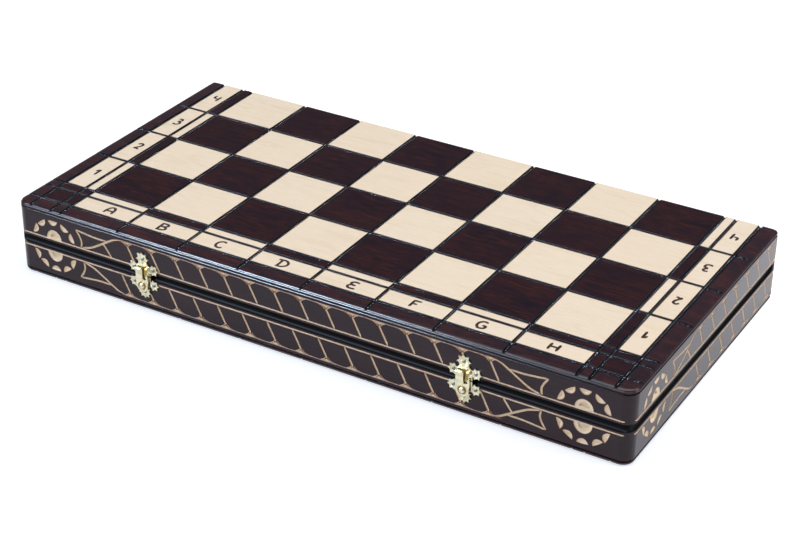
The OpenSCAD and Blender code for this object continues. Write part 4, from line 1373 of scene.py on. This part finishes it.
def make_stage():
    bm = bmesh.new()
    bmesh.ops.create_grid(bm, x_segments=8, y_segments=8, size=20000)
    floor = finish_mesh("floor", bm, [floor_paint()])
    world = bpy.data.worlds.new("studio")
    bpy.context.scene.world = world
    world.use_nodes = True
    background = world.node_tree.nodes["Background"]
    background.inputs["Color"].default_value = (0.90, 0.95, 1.0, 1)
    background.inputs["Strength"].default_value = 0.14
    area_light("overhead", (0.25, 0.1, 2.3), (0, 0, 0), (2.2, 2.2), 46)
    area_light("right_back", (1.9, 0.9, 1.5), (0, 0, 0), (1.4, 1.2), 30, (0.94, 0.97, 1.0))
    area_light("front_left", (-1.21, -1.3, 1.7), (0, 0, 0), (0.75, 0.35), 24, (0.88, 0.94, 1.0))
    area_light("edge_gleam", (-1.21, -1.35, 1.75), (0, -0.1, 0), (0.68, 0.6), 230, (0.62, 0.78, 1.0), True)
    bpy.context.scene.view_settings.view_transform = "Standard"


# ---------- build ----------

def main():
    make_camera()
    materials = {
        "dark": dark_veneer(), "pale": pale_veneer(), "groove": groove_lacquer(),
        "border": border_wood(), "wall": wall_wood(), "carved": carved_wood(),
        # the routed recess, near black: its dark stain together with a painted shade of the hollow
        "recess": mottled("recess_stain_and_shade", (20, 20, 500), 3,
                          [(0.35, (0.002, 0.0016, 0.002)), (0.7, (0.006, 0.0045, 0.006))], 0.5, 0.05),
        # letters and digits burnt into the label tiles
        "burnt": mottled("burnt_line", 600, 3,
                         [(0.35, (0.012, 0.005, 0.003)), (0.65, (0.055, 0.020, 0.009))], 0.7, 0.2),
        # the thin brown line where the stain has crept into a pale tile
        "edge": mottled("scorched_edge", 500, 3,
                        [(0.3, (0.20, 0.075, 0.035)), (0.7, (0.44, 0.25, 0.15))], 0.45, 0.25),
        # the hardened drops in the grooves: black glass
        "bead": mottled("lacquer_bead", 900, 2,
                        [(0.35, (0.002, 0.003, 0.005)), (0.7, (0.008, 0.010, 0.015))], 0.12, 0.7,
                        (0.2, 0.0003), Specular_Tint=(0.7, 0.82, 1.0), Coat_Weight=0.6, Coat_Roughness=0.05),
    }
    latch_brass = brass("latch_brass", (0.68, 0.63, 0.46), (0.36, 0.29, 0.14), 0.26)
    # brass darkened as a painted shade, for the tongue and hook behind the arm and the ring round the rivet
    latch_brass_shaded = brass("latch_brass_shaded", (0.42, 0.30, 0.10), (0.10, 0.06, 0.02), 0.32)
    nail_steel = brass("nail_head", (0.17, 0.20, 0.19), (0.10, 0.08, 0.04), 0.45)
    hinge_brass = brass("hinge_brass", (0.80, 0.66, 0.34), (0.50, 0.36, 0.14), 0.3)
    light_wood = turned_wood("light_piece_wood", (0.72, 0.50, 0.27), (0.52, 0.31, 0.13), 0.35)
    dark_wood = turned_wood("dark_piece_wood", (0.11, 0.045, 0.022), (0.045, 0.018, 0.010), 0.32)
    felt = flock()
    for half, matrix in HALVES.items():
        build_panel(half, matrix, materials)
        build_beads(half, matrix, materials)
        build_tiles(half, matrix, materials, True)
        build_tiles(half, matrix, materials, False)
        build_walls(half, matrix, materials)
        build_back_wall(half, matrix, materials)
        build_tray(half, matrix, felt)
        build_hinge_screws(half, matrix, hinge_brass)
    for side in SIDE_NAMES:
        build_hinge(side, hinge_brass)
        build_latch(side, latch_brass, latch_brass_shaded)
    for half in HALVES:
        build_nails(half, nail_steel)
    build_pieces("light", "lower_half", None, light_wood)
    build_pieces("dark", "upper_half", TURN_OVER, dark_wood)
    make_stage()


main()
